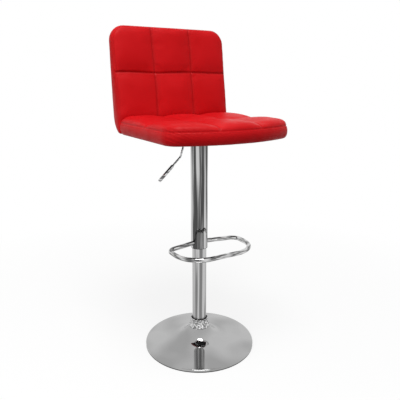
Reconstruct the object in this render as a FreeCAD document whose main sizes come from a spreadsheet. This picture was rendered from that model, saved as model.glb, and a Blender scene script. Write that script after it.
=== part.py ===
import FreeCAD, Part
import Sketcher
import math
import os

# Diner counter stool: a chromed trumpet foot, a telescoping gas-lift column with a
# footrest loop, a height lever and a quilted seat with a low back.
# Millimetres, +Z up. The origin is on the floor at the column's axis. The sitter faces -Y,
# and the lever is at the sitter's right hand, on the -X side.

os.makedirs("parts", exist_ok=True)
doc = FreeCAD.newDocument("CounterStool")
sheet = doc.addObject("Spreadsheet::Sheet", "Sizes")

# Driving sizes, one row each: name, value, meaning
DRIVING_SIZES = [
    ("clearance", 0.3, "air gap between pieces that only lie beside each other"),
    ("fit", 0.05, "radial play of a shaft in its hole and of pieces welded or pressed together"),
    ("base_diameter", 385, "foot disc across its rim"),
    ("disc_sheet", 2, "steel sheet of the foot disc"),
    ("disc_edge_rise", 6.5, "height of the disc just inside its rim, above its lip"),
    ("disc_edge_round", 3, "rounding of the disc's rim"),
    ("flare_diameter", 200, "where the shallow cone of the disc turns up into the neck"),
    ("cone_rise", 11.5, "rise of the shallow cone from the rim to that diameter"),
    ("flare_round", 78, "radius of the hollow flare"),
    ("neck_rise", 44.5, "rise of the flare up to its neck"),
    ("neck_gap", 5, "radial gap between the pole socket and the neck"),
    ("rim_ring_width", 6.5, "width of the rubber ring under the rim"),
    ("rim_ring_base", 2.7, "rubber under the disc's lip"),
    ("rim_ring_rise", 1.5, "rubber behind the disc's lip"),
    ("underplate_sheet", 1.5, "sheet of the stiffening plate under the disc"),
    ("underplate_rise", 7.5, "rise of that plate from its edge to the pole socket"),
    ("socket_wall", 5, "wall of the pole socket"),
    ("collar_overhang", 1, "foot collar beyond the neck that it sits on"),
    ("collar_mouth_gap", 3, "radial gap between the pole and the collar's open mouth"),
    ("collar_height", 31, "height of the foot collar"),
    ("collar_foot", 2, "upright band at the collar's lower edge"),
    ("collar_wall", 1.8, "wall of the foot collar"),
    ("collar_hollow", 46, "radius of the collar's hollow side"),
    ("collar_lip_round", 1, "rolled lip of the collar's mouth"),
    ("pole_diameter", 50, "lower pole"),
    ("pole_wall", 2, "wall of the lower pole"),
    ("pole_inset", 2, "lower end of the pole inside its socket"),
    ("pole_taper", 0.6, "how much the pole's radius shrinks inside its socket"),
    ("end_cap_thickness", 6, "plate pressed into the pole's lower end"),
    ("rod_diameter", 10, "piston rod"),
    ("rod_shoulder", 1, "step from the rod to its thin ends"),
    ("rod_hole_play", 0.3, "radial play of the rod's neck in the end cap and the lower race"),
    ("race_diameter", 26, "races of the ball bearing"),
    ("race_thickness", 2.5, "each race of the ball bearing"),
    ("ball_diameter", 4, "bearing balls"),
    ("ball_pitch_diameter", 18, "circle of the ball centres"),
    ("groove_play", 0.1, "how much wider than the ball its groove is rounded"),
    ("cage_thickness", 1.2, "ball cage"),
    ("cage_rim", 1, "ball cage beside the balls"),
    ("bump_diameter", 25, "rubber buffer on the rod"),
    ("bump_height", 23, "height of the rubber buffer"),
    ("bump_waist", 2.5, "depth of the waist round the buffer"),
    ("clip_thickness", 1.2, "washer and clip under the end cap"),
    ("clip_diameter", 15, "retaining clip"),
    ("clip_washer_diameter", 19, "washer above the clip"),
    ("clip_groove_depth", 0.8, "groove in the rod for the retaining clip"),
    ("rod_tail", 2.5, "rod below the retaining clip"),
    ("stroke", 210, "height adjustment"),
    ("stroke_room", 3, "gap above the pole's bush with the seat at its lowest"),
    ("cylinder_diameter", 28, "gas cylinder"),
    ("cylinder_wall", 1.5, "wall of the gas cylinder"),
    ("cylinder_lip", 1.5, "rolled ends of the gas cylinder"),
    ("cylinder_mouth_play", 1, "radial play of rod and valve pin in those rolled ends"),
    ("taper_length", 35, "tapered upper end of the gas cylinder"),
    ("taper_depth", 0.7, "how much the cylinder's radius shrinks over its taper"),
    ("rod_guide_length", 12, "rod guide in the cylinder's lower end"),
    ("piston_thickness", 12, "piston"),
    ("piston_play", 0.3, "radial play of the piston"),
    ("piston_ring_thickness", 3, "seal in the piston's groove"),
    ("piston_groove_depth", 2.5, "groove for the piston seal"),
    ("valve_body_length", 28, "valve body in the cylinder's upper end"),
    ("valve_pin_diameter", 8, "valve pin"),
    ("valve_pin_length", 21, "valve pin"),
    ("valve_pin_stand", 4.95, "valve pin above the cylinder's upper end"),
    ("valve_pin_chamfer", 2, "bevel round the valve pin's head"),
    ("valve_pin_travel_room", 4, "free depth under the valve pin"),
    ("bush_length", 80, "plastic guide bush in the pole's upper end"),
    ("bush_flange", 3, "flange of the guide bush on the pole's rim"),
    ("tube_gap", 2, "radial gap between the lower pole and the upper cover tube"),
    ("tube_wall", 1.5, "wall of the upper cover tube"),
    ("tube_length", 353.6, "upper cover tube"),
    ("tube_guide_length", 20, "plastic guide ring in the tube's lower end"),
    ("tube_guide_lip", 1.5, "visible lip of that guide ring"),
    ("tube_guide_play", 0.08, "radial play of the guide ring on the pole"),
    ("tube_cap_thickness", 8, "conical cap that hangs the tube on the cylinder"),
    ("footrest_rise", 19, "centre of the footrest bar above the cover tube's lower end"),
    ("footrest_bar_diameter", 15, "footrest bar"),
    ("footrest_bar_wall", 2, "wall of the footrest bar"),
    ("footrest_half_width", 133, "centre of the footrest's side bars from the column's axis"),
    ("footrest_reach", 161, "centre of the footrest's front bar from the column's axis"),
    ("footrest_root", 6, "where the footrest meets the tube, in front of its axis"),
    ("footrest_back_corner", 28, "where its back bars reach the side bars"),
    ("footrest_back_round", 30, "bend between back bar and side bar"),
    ("footrest_front_round", 84, "bend between side bar and front bar"),
    ("seat_bottom", 744, "underside of the seat cushion"),
    ("seat_width", 426, "seat and back across"),
    ("seat_front", 245, "front of the seat from the column's axis"),
    ("seat_front_round", 450, "radius of the seat's bowed front"),
    ("seat_corner_round", 48, "rounding of the seat's front corners"),
    ("seat_edge_height", 39, "height of the seat's side band"),
    ("seat_edge_inset", 2, "top seam of the side band inside the seat's widest line"),
    ("seat_shoulder_inset", 7.7, "rounded shoulder above that seam, inside the widest line"),
    ("shoulder_run", 31, "width over which seat and back rise to their full thickness"),
    ("seat_crown_rise", 23, "top of the seat's cells above its side band"),
    ("seam_depth", 9, "depth of a seam below the cells beside it"),
    ("row_seam_drop", 6.3, "extra depth of the seat where a row of cells ends"),
    ("seat_row_seam", 44, "seam across the seat, in front of the column's axis"),
    ("cushion_tuck", 5, "how far the cushion's sides draw in at their lower edge"),
    ("back_lean", 8.5, "lean of the backrest's front in degrees"),
    ("rear_lean", 2.5, "lean of its rear face in degrees; the back is thicker at its foot"),
    ("back_foot", 149, "front face of the backrest behind the axis, at the seat's underside"),
    ("back_length", 353, "backrest along its lean, from the seat's underside"),
    ("back_top_depth", 28, "backrest from its seams to its rear face, at the upper edge"),
    ("back_corner_round", 48, "rounding of the backrest's top corners"),
    ("back_row_seam", 202, "seam across the backrest, along its lean"),
    ("back_crown", 9, "how far the backrest's cells stand in front of its seams"),
    ("back_seam_swell", 1.8, "how far the backrest's seams swell between its rows' ends"),
    ("back_tuck", 7, "how far the backrest's edges draw in towards the rear face"),
    ("back_tuck_depth", 12, "depth over which they draw in"),
    ("back_edge_inset", 2.5, "front seam of the backrest's side band inside its widest line"),
    ("back_shoulder_inset", 8.4, "rounded shoulder in front of that seam"),
    ("crease_gap", 1, "seat cushion in front of the backrest's front face"),
    ("heel_round", 66, "rounding where seat and back meet at the rear"),
    ("band_thickness", 14, "padded side band of seat and back"),
    ("quilt_thickness", 10, "padded quilt on the front of the back"),
    ("foam_cover", 5.7, "cover and wadding between the seat foam and the lowest seams"),
    ("panel_thickness", 3, "rear panel of the backrest"),
    ("shell_inset", 3.5, "bent plywood shell behind the outer face"),
    ("shell_thickness", 10, "bent plywood shell"),
    ("dust_cover_thickness", 1, "cloth under the seat"),
    ("plate_width", 160, "seat plate"),
    ("plate_thickness", 3, "seat plate"),
    ("plate_hole_inset", 15, "bolt holes from the seat plate's edges"),
    ("bolt_diameter", 8, "seat bolts"),
    ("bolt_head_step", 2.5, "seat bolt heads beyond their shanks"),
    ("bolt_head_height", 5.3, "seat bolt heads"),
    ("washer_step", 4.5, "bolt washers beyond the shanks"),
    ("washer_thickness", 1.6, "bolt washers"),
    ("tee_barrel_wall", 1.2, "barrels of the tee nuts"),
    ("tee_flange_step", 4.8, "flanges of the tee nuts beyond their barrels"),
    ("tee_flange_thickness", 1.5, "flanges of the tee nuts"),
    ("channel_end", 13, "lever channel beyond the lever's pivot"),
    ("channel_side_gap", 7, "gap between the cone socket and the lever channel's walls"),
    ("channel_wall", 2, "sheet of the lever channel"),
    ("channel_height", 25, "lever channel"),
    ("cone_socket_wall", 5, "socket that holds the cylinder's taper"),
    ("cone_socket_length", 22, "that socket"),
    ("cone_socket_drop", 1, "top of that socket below the cylinder's upper end"),
    ("lever_pivot_reach", 32, "lever pivot from the column's axis"),
    ("lever_drop", 9.9, "lever rod below the seat plate, where it leaves the channel"),
    ("lever_rod_diameter", 6, "lever rod"),
    ("lever_tip", 6, "inner end of the lever past the column's axis"),
    ("lever_knee_out", 8, "upper bend of the lever rod outside the channel"),
    ("lever_elbow_out", 17.5, "lower bend of the lever rod outside the upper one"),
    ("lever_elbow_drop", 52, "lower bend of the lever rod below the upper one"),
    ("lever_end_out", 77, "end of the grip outside the lower bend"),
    ("lever_end_drop", 72, "end of the grip below the lower bend"),
    ("lever_bend_round", 12, "bends of the lever rod"),
    ("lever_hub_diameter", 11, "cross tube welded to the lever rod"),
    ("pivot_pin_diameter", 5, "lever pivot pin"),
    ("pivot_pin_end", 2, "lever pivot pin outside the channel's walls"),
    ("grip_diameter", 10.5, "lever grip"),
    ("grip_length", 67, "lever grip"),
    ("grip_tip_round", 3.2, "rounded outer end of the grip"),
    ("grip_edge_bevel", 0.6, "bevel of the grip's inner end"),
    ("grip_bore_depth", 48, "how far the rod goes into the grip"),
]
BALL_COUNT = 10
CELLS_ACROSS = 3

# Shapes that scale with their piece, as shares of it
ROW_SWELL = [(0, 0), (0.35, 0.55), (1, 0.88)]
CELL_SLACK = 0.25
CELL_OVERHANG = 1.1
BACK_SHOULDER = 0.7
SEAT_SHOULDER = 0.59
BALL_SEAT = 0.3875
GROOVE_WIDTH = 0.7
SMALLEST_CORNER = 4

# Cutting tools run past the piece they cut, and cutting blocks reach far past the stool
TOOL_MARGIN = 1
FAR = 600


class Dim:
    """A size that keeps its number together with the sheet formula it comes from."""

    def __init__(self, value, formula=None):
        self.value = float(value)
        self.formula = formula or repr(float(value))

    def __add__(self, other):
        other = as_dim(other)
        return Dim(self.value + other.value, f"({self.formula} + {other.formula})")

    def __sub__(self, other):
        other = as_dim(other)
        return Dim(self.value - other.value, f"({self.formula} - {other.formula})")

    def __mul__(self, other):
        other = as_dim(other)
        return Dim(self.value * other.value, f"({self.formula} * {other.formula})")

    def __truediv__(self, other):
        other = as_dim(other)
        return Dim(self.value / other.value, f"({self.formula} / {other.formula})")

    def __neg__(self):
        return Dim(-self.value, f"(-1 * {self.formula})")

    def __radd__(self, other):
        return as_dim(other) + self

    def __rsub__(self, other):
        return as_dim(other) - self

    def __rmul__(self, other):
        return as_dim(other) * self


def as_dim(number):
    """Turn a plain number into a Dim."""
    return number if isinstance(number, Dim) else Dim(number)


def fill_sheet():
    """Write the driving sizes into the sheet and return them by name."""
    named = {}
    for row, (name, value, meaning) in enumerate(DRIVING_SIZES, start=1):
        sheet.set(f"A{row}", name)
        sheet.set(f"B{row}", str(value))
        sheet.set(f"C{row}", meaning)
        sheet.setAlias(f"B{row}", name)
        named[name] = Dim(value, f"Sizes.{name}")
    doc.recompute()
    for name in named:
        named[name].value = float(sheet.get(name))
    return named


size = fill_sheet()
finished = []


def finish(piece, name):
    """Label a finished sub-part, so that it is exported under that name."""
    piece.Label = name
    finished.append(piece)
    return piece


def bind(piece, **formulas):
    """Bind properties of a document object to sizes."""
    for key, amount in formulas.items():
        piece.setExpression(key, as_dim(amount).formula)


def place(piece, across=0, along=0, up=0):
    """Bind the position of a document object to sizes."""
    for axis, amount in (("x", across), ("y", along), ("z", up)):
        piece.setExpression(f"Placement.Base.{axis}", as_dim(amount).formula)


# Sketches and the bodies made from them

def new_sketch(body, name, role):
    """Add a sketch to a body on one of its origin planes."""
    sketch = body.newObject("Sketcher::SketchObject", name)
    plane = [item for item in body.Origin.OriginFeatures if item.Role == role][0]
    sketch.AttachmentSupport = [(plane, "")]
    sketch.MapMode = "FlatFace"
    return sketch


def pin_point(sketch, edge, end, across, up):
    """Hold a sketch point at a bound distance from the sketch's origin."""
    for kind, axis, amount in (("DistanceX", -2, across), ("DistanceY", -1, up)):
        amount = as_dim(amount)
        if amount.value == 0:
            sketch.addConstraint(Sketcher.Constraint("PointOnObject", edge, end, axis))
            continue
        index = sketch.addConstraint(Sketcher.Constraint(kind, -1, 1, edge, end, amount.value))
        sketch.setExpression(f"Constraints[{index}]", amount.formula)


def sketch_arc(start, end, radius, turn):
    """Make the short arc from start to end; turn is 1 to curve left and -1 to curve right."""
    chord = end - start
    half = chord.Length / 2
    rise = math.sqrt(max(radius * radius - half * half, 0))
    left = FreeCAD.Vector(-chord.y, chord.x, 0).normalize()
    centre = start + chord * 0.5 + left * (rise * turn)
    first, last = (start, end) if turn > 0 else (end, start)
    low, high = [math.atan2(point.y - centre.y, point.x - centre.x) for point in (first, last)]
    if high < low:
        high += 2 * math.pi
    circle = Part.Circle(centre, FreeCAD.Vector(0, 0, 1), radius)
    return Part.ArcOfCircle(circle, low, high)


def draw_outline(sketch, corners):
    """Draw a closed outline with every corner bound to the sheet.

    A corner is (across, up). A corner (across, up, radius, turn) is followed by an arc of
    that radius, which curves left for a turn of 1 and right for -1.
    """
    points = [FreeCAD.Vector(as_dim(item[0]).value, as_dim(item[1]).value, 0) for item in corners]
    ends = []
    for index, corner in enumerate(corners):
        start = points[index]
        end = points[(index + 1) % len(points)]
        if len(corner) == 2:
            edge = sketch.addGeometry(Part.LineSegment(start, end), False)
            ends.append((edge, 1, 2))
            continue
        edge = sketch.addGeometry(sketch_arc(start, end, as_dim(corner[2]).value, corner[3]), False)
        ends.append((edge, 1, 2) if corner[3] > 0 else (edge, 2, 1))
    for index, (edge, start_end, far_end) in enumerate(ends):
        following = ends[(index + 1) % len(ends)]
        sketch.addConstraint(
            Sketcher.Constraint("Coincident", edge, far_end, following[0], following[1]))
    for (edge, start_end, far_end), corner in zip(ends, corners):
        pin_point(sketch, edge, start_end, corner[0], corner[1])
        if len(corner) == 4:
            radius = as_dim(corner[2])
            index = sketch.addConstraint(Sketcher.Constraint("Radius", edge, radius.value))
            sketch.setExpression(f"Constraints[{index}]", radius.formula)


def draw_circle(sketch, across, up, radius):
    """Draw a circle with a bound centre and radius."""
    centre = FreeCAD.Vector(as_dim(across).value, as_dim(up).value, 0)
    circle = Part.Circle(centre, FreeCAD.Vector(0, 0, 1), as_dim(radius).value)
    edge = sketch.addGeometry(circle, False)
    pin_point(sketch, edge, 3, across, up)
    index = sketch.addConstraint(Sketcher.Constraint("Radius", edge, as_dim(radius).value))
    sketch.setExpression(f"Constraints[{index}]", as_dim(radius).formula)


def turned(name, corners):
    """Turn a closed half section of (radius, height) corners about the upright axis."""
    body = doc.addObject("PartDesign::Body", name)
    sketch = new_sketch(body, name + "_section", "XZ_Plane")
    draw_outline(sketch, corners)
    turn = body.newObject("PartDesign::Revolution", name + "_turn")
    turn.Profile = sketch
    turn.ReferenceAxis = (sketch, ["V_Axis"])
    turn.Angle = 360
    return body


def padded(name, role, corners, length, holes=(), midplane=False):
    """Pad a closed outline, with round holes given as (across, up, radius)."""
    body = doc.addObject("PartDesign::Body", name)
    sketch = new_sketch(body, name + "_outline", role)
    draw_outline(sketch, corners)
    for hole in holes:
        draw_circle(sketch, *hole)
    pad = body.newObject("PartDesign::Pad", name + "_pad")
    pad.Profile = sketch
    bind(pad, Length=length)
    pad.Midplane = midplane
    return body


def ring(inner, outer, low, high):
    """Give the half section of a plain ring."""
    return [(inner, low), (outer, low), (outer, high), (inner, high)]


def cylinder(name, radius, height, across=0, along=0, up=0):
    """Make an upright cylinder that stands on the given point."""
    piece = doc.addObject("Part::Cylinder", name)
    bind(piece, Radius=radius, Height=height)
    place(piece, across, along, up)
    return piece


def cylinder_along_y(name, radius, length, across, up):
    """Make a cylinder that lies along Y, centred on the column's middle plane."""
    piece = cylinder(name, radius, length, across, as_dim(length) / 2, up)
    piece.Placement.Rotation = FreeCAD.Rotation(FreeCAD.Vector(1, 0, 0), 90)
    return piece


def cut(name, base, tools):
    """Cut tools away from a base."""
    result = doc.addObject("Part::Cut", name)
    result.Base = base
    if len(tools) == 1:
        result.Tool = tools[0]
        return result
    joined = doc.addObject("Part::MultiFuse", name + "_tools")
    joined.Shapes = tools
    result.Tool = joined
    return result


def group(name, pieces):
    """Hold several separate solids in one sub-part."""
    result = doc.addObject("Part::Compound", name)
    result.Links = pieces
    return result


clearance = size["clearance"]
fit = size["fit"]

# Heights under the seat, from the cushion's underside down to the pole's upper end

seat_bottom = size["seat_bottom"]
shell_bottom = seat_bottom + size["shell_inset"]
shell_top = shell_bottom + size["shell_thickness"]
dust_top = shell_bottom - clearance
dust_bottom = dust_top - size["dust_cover_thickness"]
plate_top = dust_bottom - clearance
plate_bottom = plate_top - size["plate_thickness"]
channel_bottom = plate_bottom - size["channel_height"]
tube_top = channel_bottom - clearance
tube_bottom = tube_top - size["tube_length"]
lever_height = plate_bottom - size["lever_drop"]
lever_rod_radius = size["lever_rod_diameter"] / 2
valve_pin_top = lever_height - lever_rod_radius - fit
cylinder_top = valve_pin_top - size["valve_pin_stand"]
cone_socket_top = cylinder_top - size["cone_socket_drop"]
cone_socket_bottom = cone_socket_top - size["cone_socket_length"]
tube_cap_top = cone_socket_bottom - clearance
tube_cap_bottom = tube_cap_top - size["tube_cap_thickness"]
bush_top = tube_cap_bottom - size["stroke"] - size["stroke_room"]
pole_top = bush_top - size["bush_flange"]


# The foot: disc, rim ring, stiffening plate, pole socket and collar

base_radius = size["base_diameter"] / 2
sheet_steel = size["disc_sheet"]
lip_bottom = size["rim_ring_base"] + clearance
edge_round = size["disc_edge_round"]
edge_height = lip_bottom + size["disc_edge_rise"]
flare_radius = size["flare_diameter"] / 2
flare_height = edge_height + size["cone_rise"]
pole_radius = size["pole_diameter"] / 2
pole_inner_radius = pole_radius - size["pole_wall"]
socket_outer_radius = pole_radius + size["socket_wall"]
neck_radius = socket_outer_radius + size["neck_gap"] + sheet_steel
neck_height = flare_height + size["neck_rise"]
ring_top = size["rim_ring_base"] + size["rim_ring_rise"]
plate_low = ring_top + clearance
plate_high = plate_low + size["underplate_sheet"]
socket_bottom = plate_low + size["underplate_rise"]
pole_start = socket_bottom + size["pole_inset"]


def pole_radius_at(height):
    """Outer radius of the pole inside its tapered socket."""
    slope = size["pole_taper"] / (neck_height - pole_start)
    return pole_radius - slope * (neck_height - height)


def make_foot():
    disc = turned("base_disc", [
        (base_radius - sheet_steel, lip_bottom),
        (base_radius, lip_bottom),
        (base_radius, edge_height - edge_round, edge_round, 1),
        (base_radius - edge_round, edge_height),
        (flare_radius, flare_height, size["flare_round"], -1),
        (neck_radius, neck_height),
        (pole_radius + 2 * fit, neck_height),
        (pole_radius + 2 * fit, neck_height - sheet_steel),
        (neck_radius - sheet_steel, neck_height - sheet_steel, size["flare_round"], 1),
        (flare_radius, flare_height - sheet_steel),
        (base_radius - edge_round, edge_height - sheet_steel),
        (base_radius - sheet_steel, edge_height - edge_round),
    ])
    finish(disc, "base_disc")

    ring_inner = base_radius - size["rim_ring_width"]
    ring_step = base_radius - sheet_steel - clearance
    rim_ring = turned("base_rim_ring", [
        (ring_inner, 0),
        (base_radius, 0),
        (base_radius, size["rim_ring_base"]),
        (ring_step, size["rim_ring_base"]),
        (ring_step, ring_top),
        (ring_inner, ring_top),
    ])
    finish(rim_ring, "base_rim_ring")

    plate_edge = ring_step - clearance
    hub = socket_outer_radius + fit
    underplate = turned("base_underplate", [
        (hub, socket_bottom),
        (plate_edge - 2 * edge_round, plate_low),
        (plate_edge, plate_low),
        (plate_edge, plate_high),
        (plate_edge - 2 * edge_round, plate_high),
        (hub, socket_bottom + size["underplate_sheet"]),
    ])
    finish(underplate, "base_underplate")

    socket_top = neck_height - sheet_steel - fit
    socket = turned("pole_socket", [
        (pole_radius_at(socket_bottom) + fit, socket_bottom),
        (socket_outer_radius, socket_bottom),
        (socket_outer_radius, socket_top),
        (pole_radius_at(socket_top) + fit, socket_top),
    ])
    finish(socket, "pole_socket")

    wall = size["collar_wall"]
    foot_radius = neck_radius + size["collar_overhang"]
    mouth_radius = pole_radius + size["collar_mouth_gap"] + wall
    low = neck_height + fit
    band = low + size["collar_foot"]
    high = low + size["collar_height"]
    collar = turned("foot_collar", [
        (foot_radius - wall, low),
        (foot_radius, low),
        (foot_radius, band, size["collar_hollow"], -1),
        (mouth_radius, high, size["collar_lip_round"], 1),
        (mouth_radius - wall, high, size["collar_hollow"] + wall, 1),
        (foot_radius - wall, band),
    ])
    finish(collar, "foot_collar")


# The lower pole with the bush, the end cap and the ball bearing in its foot

cap_top = pole_start + size["end_cap_thickness"]
rod_radius = size["rod_diameter"] / 2
rod_neck_radius = rod_radius - size["rod_shoulder"]
cylinder_radius = size["cylinder_diameter"] / 2
race_radius = size["race_diameter"] / 2
lower_race_top = cap_top + size["race_thickness"]
ball_height = lower_race_top + size["ball_diameter"] * BALL_SEAT
upper_race_bottom = ball_height + size["ball_diameter"] * BALL_SEAT
upper_race_top = upper_race_bottom + size["race_thickness"]
ball_circle = size["ball_pitch_diameter"] / 2
ball_radius = size["ball_diameter"] / 2


def make_pole():
    pole = turned("lower_pole", [
        (pole_inner_radius, pole_start),
        (pole_radius_at(pole_start), pole_start),
        (pole_radius, neck_height),
        (pole_radius, pole_top),
        (pole_inner_radius, pole_top),
    ])
    finish(pole, "lower_pole")

    cap = turned("pole_end_cap", ring(
        rod_neck_radius + size["rod_hole_play"], pole_inner_radius - fit, pole_start, cap_top))
    finish(cap, "pole_end_cap")

    bore = cylinder_radius + fit
    bush = turned("pole_guide_bush", [
        (bore, pole_top - size["bush_length"]),
        (pole_inner_radius - fit, pole_top - size["bush_length"]),
        (pole_inner_radius - fit, pole_top + fit),
        (pole_radius, pole_top + fit),
        (pole_radius, bush_top),
        (bore, bush_top),
    ])
    finish(bush, "pole_guide_bush")


def race_section(bore, flat, groove_side, far_side):
    """Half section of a bearing race with a ball groove in its flat side."""
    half_groove = ball_radius * GROOVE_WIDTH
    groove_round = ball_radius + size["groove_play"]
    return [
        (bore, far_side),
        (race_radius, far_side),
        (race_radius, flat),
        (ball_circle + half_groove, flat, groove_round, groove_side),
        (ball_circle - half_groove, flat),
        (bore, flat),
    ]


def make_bearing():
    lower_bore = rod_neck_radius + size["rod_hole_play"]
    lower = turned("bearing_lower_race", race_section(lower_bore, lower_race_top, -1, cap_top))
    finish(lower, "bearing_lower_race")

    half_cage = ball_radius + size["cage_rim"]
    cage_blank = turned("bearing_cage_blank", ring(
        ball_circle - half_cage, ball_circle + half_cage,
        ball_height - size["cage_thickness"] / 2, ball_height + size["cage_thickness"] / 2))
    balls = []
    pockets = []
    for index in range(BALL_COUNT):
        angle = 360 * index / BALL_COUNT
        across = ball_circle * Dim(math.cos(math.radians(angle)), f"cos({angle})")
        along = ball_circle * Dim(math.sin(math.radians(angle)), f"sin({angle})")
        ball = doc.addObject("Part::Sphere", f"ball_{index}")
        bind(ball, Radius=ball_radius)
        place(ball, across, along, ball_height)
        balls.append(ball)
        pocket = cylinder(f"ball_pocket_{index}", ball_radius + 2 * fit,
                          size["cage_thickness"] + 2 * TOOL_MARGIN, across, along,
                          ball_height - size["cage_thickness"] / 2 - TOOL_MARGIN)
        pockets.append(pocket)
    finish(group("bearing_balls", balls), "bearing_balls")
    finish(cut("bearing_cage", cage_blank, pockets), "bearing_cage")

    upper = turned("bearing_upper_race", race_section(
        rod_neck_radius + fit, upper_race_bottom, 1, upper_race_top))
    finish(upper, "bearing_upper_race")


# The gas spring: rod, piston and buffer below, cylinder, guide and valve above

bump_bottom = upper_race_top + clearance
bump_top = bump_bottom + size["bump_height"]
cylinder_bottom = bump_top + size["stroke"] + clearance
cylinder_bore = cylinder_radius - size["cylinder_wall"]
guide_bottom = cylinder_bottom + size["cylinder_lip"] + fit
guide_top = guide_bottom + size["rod_guide_length"]
piston_bottom = guide_top + fit
piston_top = piston_bottom + size["piston_thickness"]
piston_radius = cylinder_bore - size["piston_play"]
taper_start = cylinder_top - size["taper_length"]
pin_radius = size["valve_pin_diameter"] / 2


def cylinder_radius_at(height):
    """Outer radius of the gas cylinder in its upper taper."""
    slope = size["taper_depth"] / size["taper_length"]
    return cylinder_radius - slope * (height - taper_start)


def make_rod():
    washer_top = pole_start - clearance
    washer_bottom = washer_top - size["clip_thickness"]
    clip_top = washer_bottom - fit
    clip_bottom = clip_top - size["clip_thickness"]
    rod_bottom = clip_bottom - size["rod_tail"]
    groove_radius = rod_neck_radius - size["clip_groove_depth"]
    rod = turned("piston_rod", [
        (0, rod_bottom),
        (rod_neck_radius, rod_bottom),
        (rod_neck_radius, clip_bottom - fit),
        (groove_radius, clip_bottom - fit),
        (groove_radius, clip_top + fit / 2),
        (rod_neck_radius, clip_top + fit / 2),
        (rod_neck_radius, upper_race_top + fit),
        (rod_radius, upper_race_top + fit),
        (rod_radius, piston_bottom - fit),
        (rod_neck_radius, piston_bottom - fit),
        (rod_neck_radius, piston_top + size["rod_tail"]),
        (0, piston_top + size["rod_tail"]),
    ])
    finish(rod, "piston_rod")
    washer = turned("rod_washer", ring(
        rod_neck_radius + fit, size["clip_washer_diameter"] / 2, washer_bottom, washer_top))
    finish(washer, "rod_washer")
    clip = turned("rod_clip", ring(
        groove_radius + fit, size["clip_diameter"] / 2, clip_bottom, clip_top))
    finish(clip, "rod_clip")

    bump_radius = size["bump_diameter"] / 2
    bump_bore = rod_radius + clearance
    waist = size["bump_height"] / 2
    bump = turned("bump_rubber", [
        (bump_bore, bump_bottom),
        (bump_radius, bump_bottom),
        (bump_radius, bump_bottom + waist / 2),
        (bump_radius - size["bump_waist"], bump_bottom + waist),
        (bump_radius, bump_bottom + waist * 1.5),
        (bump_radius, bump_top),
        (bump_bore, bump_top),
    ])
    finish(bump, "bump_rubber")

    groove_low = piston_bottom + (size["piston_thickness"] - size["piston_ring_thickness"]) / 2
    groove_high = groove_low + size["piston_ring_thickness"]
    groove_inner = piston_radius - size["piston_groove_depth"]
    piston = turned("piston", [
        (rod_neck_radius + fit, piston_bottom),
        (piston_radius, piston_bottom),
        (piston_radius, groove_low),
        (groove_inner, groove_low),
        (groove_inner, groove_high),
        (piston_radius, groove_high),
        (piston_radius, piston_top),
        (rod_neck_radius + fit, piston_top),
    ])
    finish(piston, "piston")
    seal = turned("piston_seal", ring(
        groove_inner + fit, cylinder_bore - fit, groove_low + fit, groove_high - fit))
    finish(seal, "piston_seal")


def make_cylinder():
    lip = size["cylinder_lip"]
    lower_mouth = rod_radius + size["cylinder_mouth_play"]
    upper_mouth = pin_radius + size["cylinder_mouth_play"]
    tube = turned("gas_cylinder", [
        (lower_mouth, cylinder_bottom),
        (cylinder_radius, cylinder_bottom),
        (cylinder_radius, taper_start),
        (cylinder_radius_at(cylinder_top), cylinder_top),
        (upper_mouth, cylinder_top),
        (upper_mouth, cylinder_top - lip),
        (cylinder_bore, cylinder_top - lip),
        (cylinder_bore, cylinder_bottom + lip),
        (lower_mouth, cylinder_bottom + lip),
    ])
    finish(tube, "gas_cylinder")
    guide = turned("rod_guide", ring(rod_radius + fit, cylinder_bore - fit, guide_bottom, guide_top))
    finish(guide, "rod_guide")

    valve_top = cylinder_top - lip - fit
    valve_bottom = valve_top - size["valve_body_length"]
    bore_bottom = valve_pin_top - size["valve_pin_length"] - size["valve_pin_travel_room"]
    valve = turned("valve_body", [
        (0, valve_bottom),
        (cylinder_bore - fit, valve_bottom),
        (cylinder_bore - fit, valve_top),
        (pin_radius + fit, valve_top),
        (pin_radius + fit, bore_bottom),
        (0, bore_bottom),
    ])
    finish(valve, "valve_body")
    bevel = size["valve_pin_chamfer"]
    pin = turned("valve_pin", [
        (0, valve_pin_top - size["valve_pin_length"]),
        (pin_radius, valve_pin_top - size["valve_pin_length"]),
        (pin_radius, valve_pin_top - bevel),
        (pin_radius - bevel, valve_pin_top),
        (0, valve_pin_top),
    ])
    finish(pin, "valve_pin")


# The upper cover tube with its cap and guide ring, and the footrest welded to it

tube_bore = pole_radius + size["tube_gap"]
tube_radius = tube_bore + size["tube_wall"]


def rounded_wire(points, rounds):
    """Join points by straight runs, with a tangent arc of the given radius at each inner point."""
    edges = []
    start = points[0]
    for index in range(1, len(points) - 1):
        corner = points[index]
        back = (points[index - 1] - corner).normalize()
        ahead = (points[index + 1] - corner).normalize()
        half_turn = back.getAngle(ahead) / 2
        run = rounds[index - 1] / math.tan(half_turn)
        towards_centre = (back + ahead).normalize()
        centre = corner + towards_centre * (rounds[index - 1] / math.sin(half_turn))
        middle = centre - towards_centre * rounds[index - 1]
        edges.append(Part.LineSegment(start, corner + back * run).toShape())
        edges.append(Part.Arc(corner + back * run, middle, corner + ahead * run).toShape())
        start = corner + ahead * run
    edges.append(Part.LineSegment(start, points[-1]).toShape())
    return Part.Wire(edges)


def rod_along(wire, radius):
    """Sweep a round section along a wire."""
    first = wire.Edges[0]
    direction = first.tangentAt(first.FirstParameter)
    section = Part.Wire(Part.Circle(first.valueAt(first.FirstParameter), direction, radius).toShape())
    return wire.makePipeShell([section], True, True)


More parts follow.
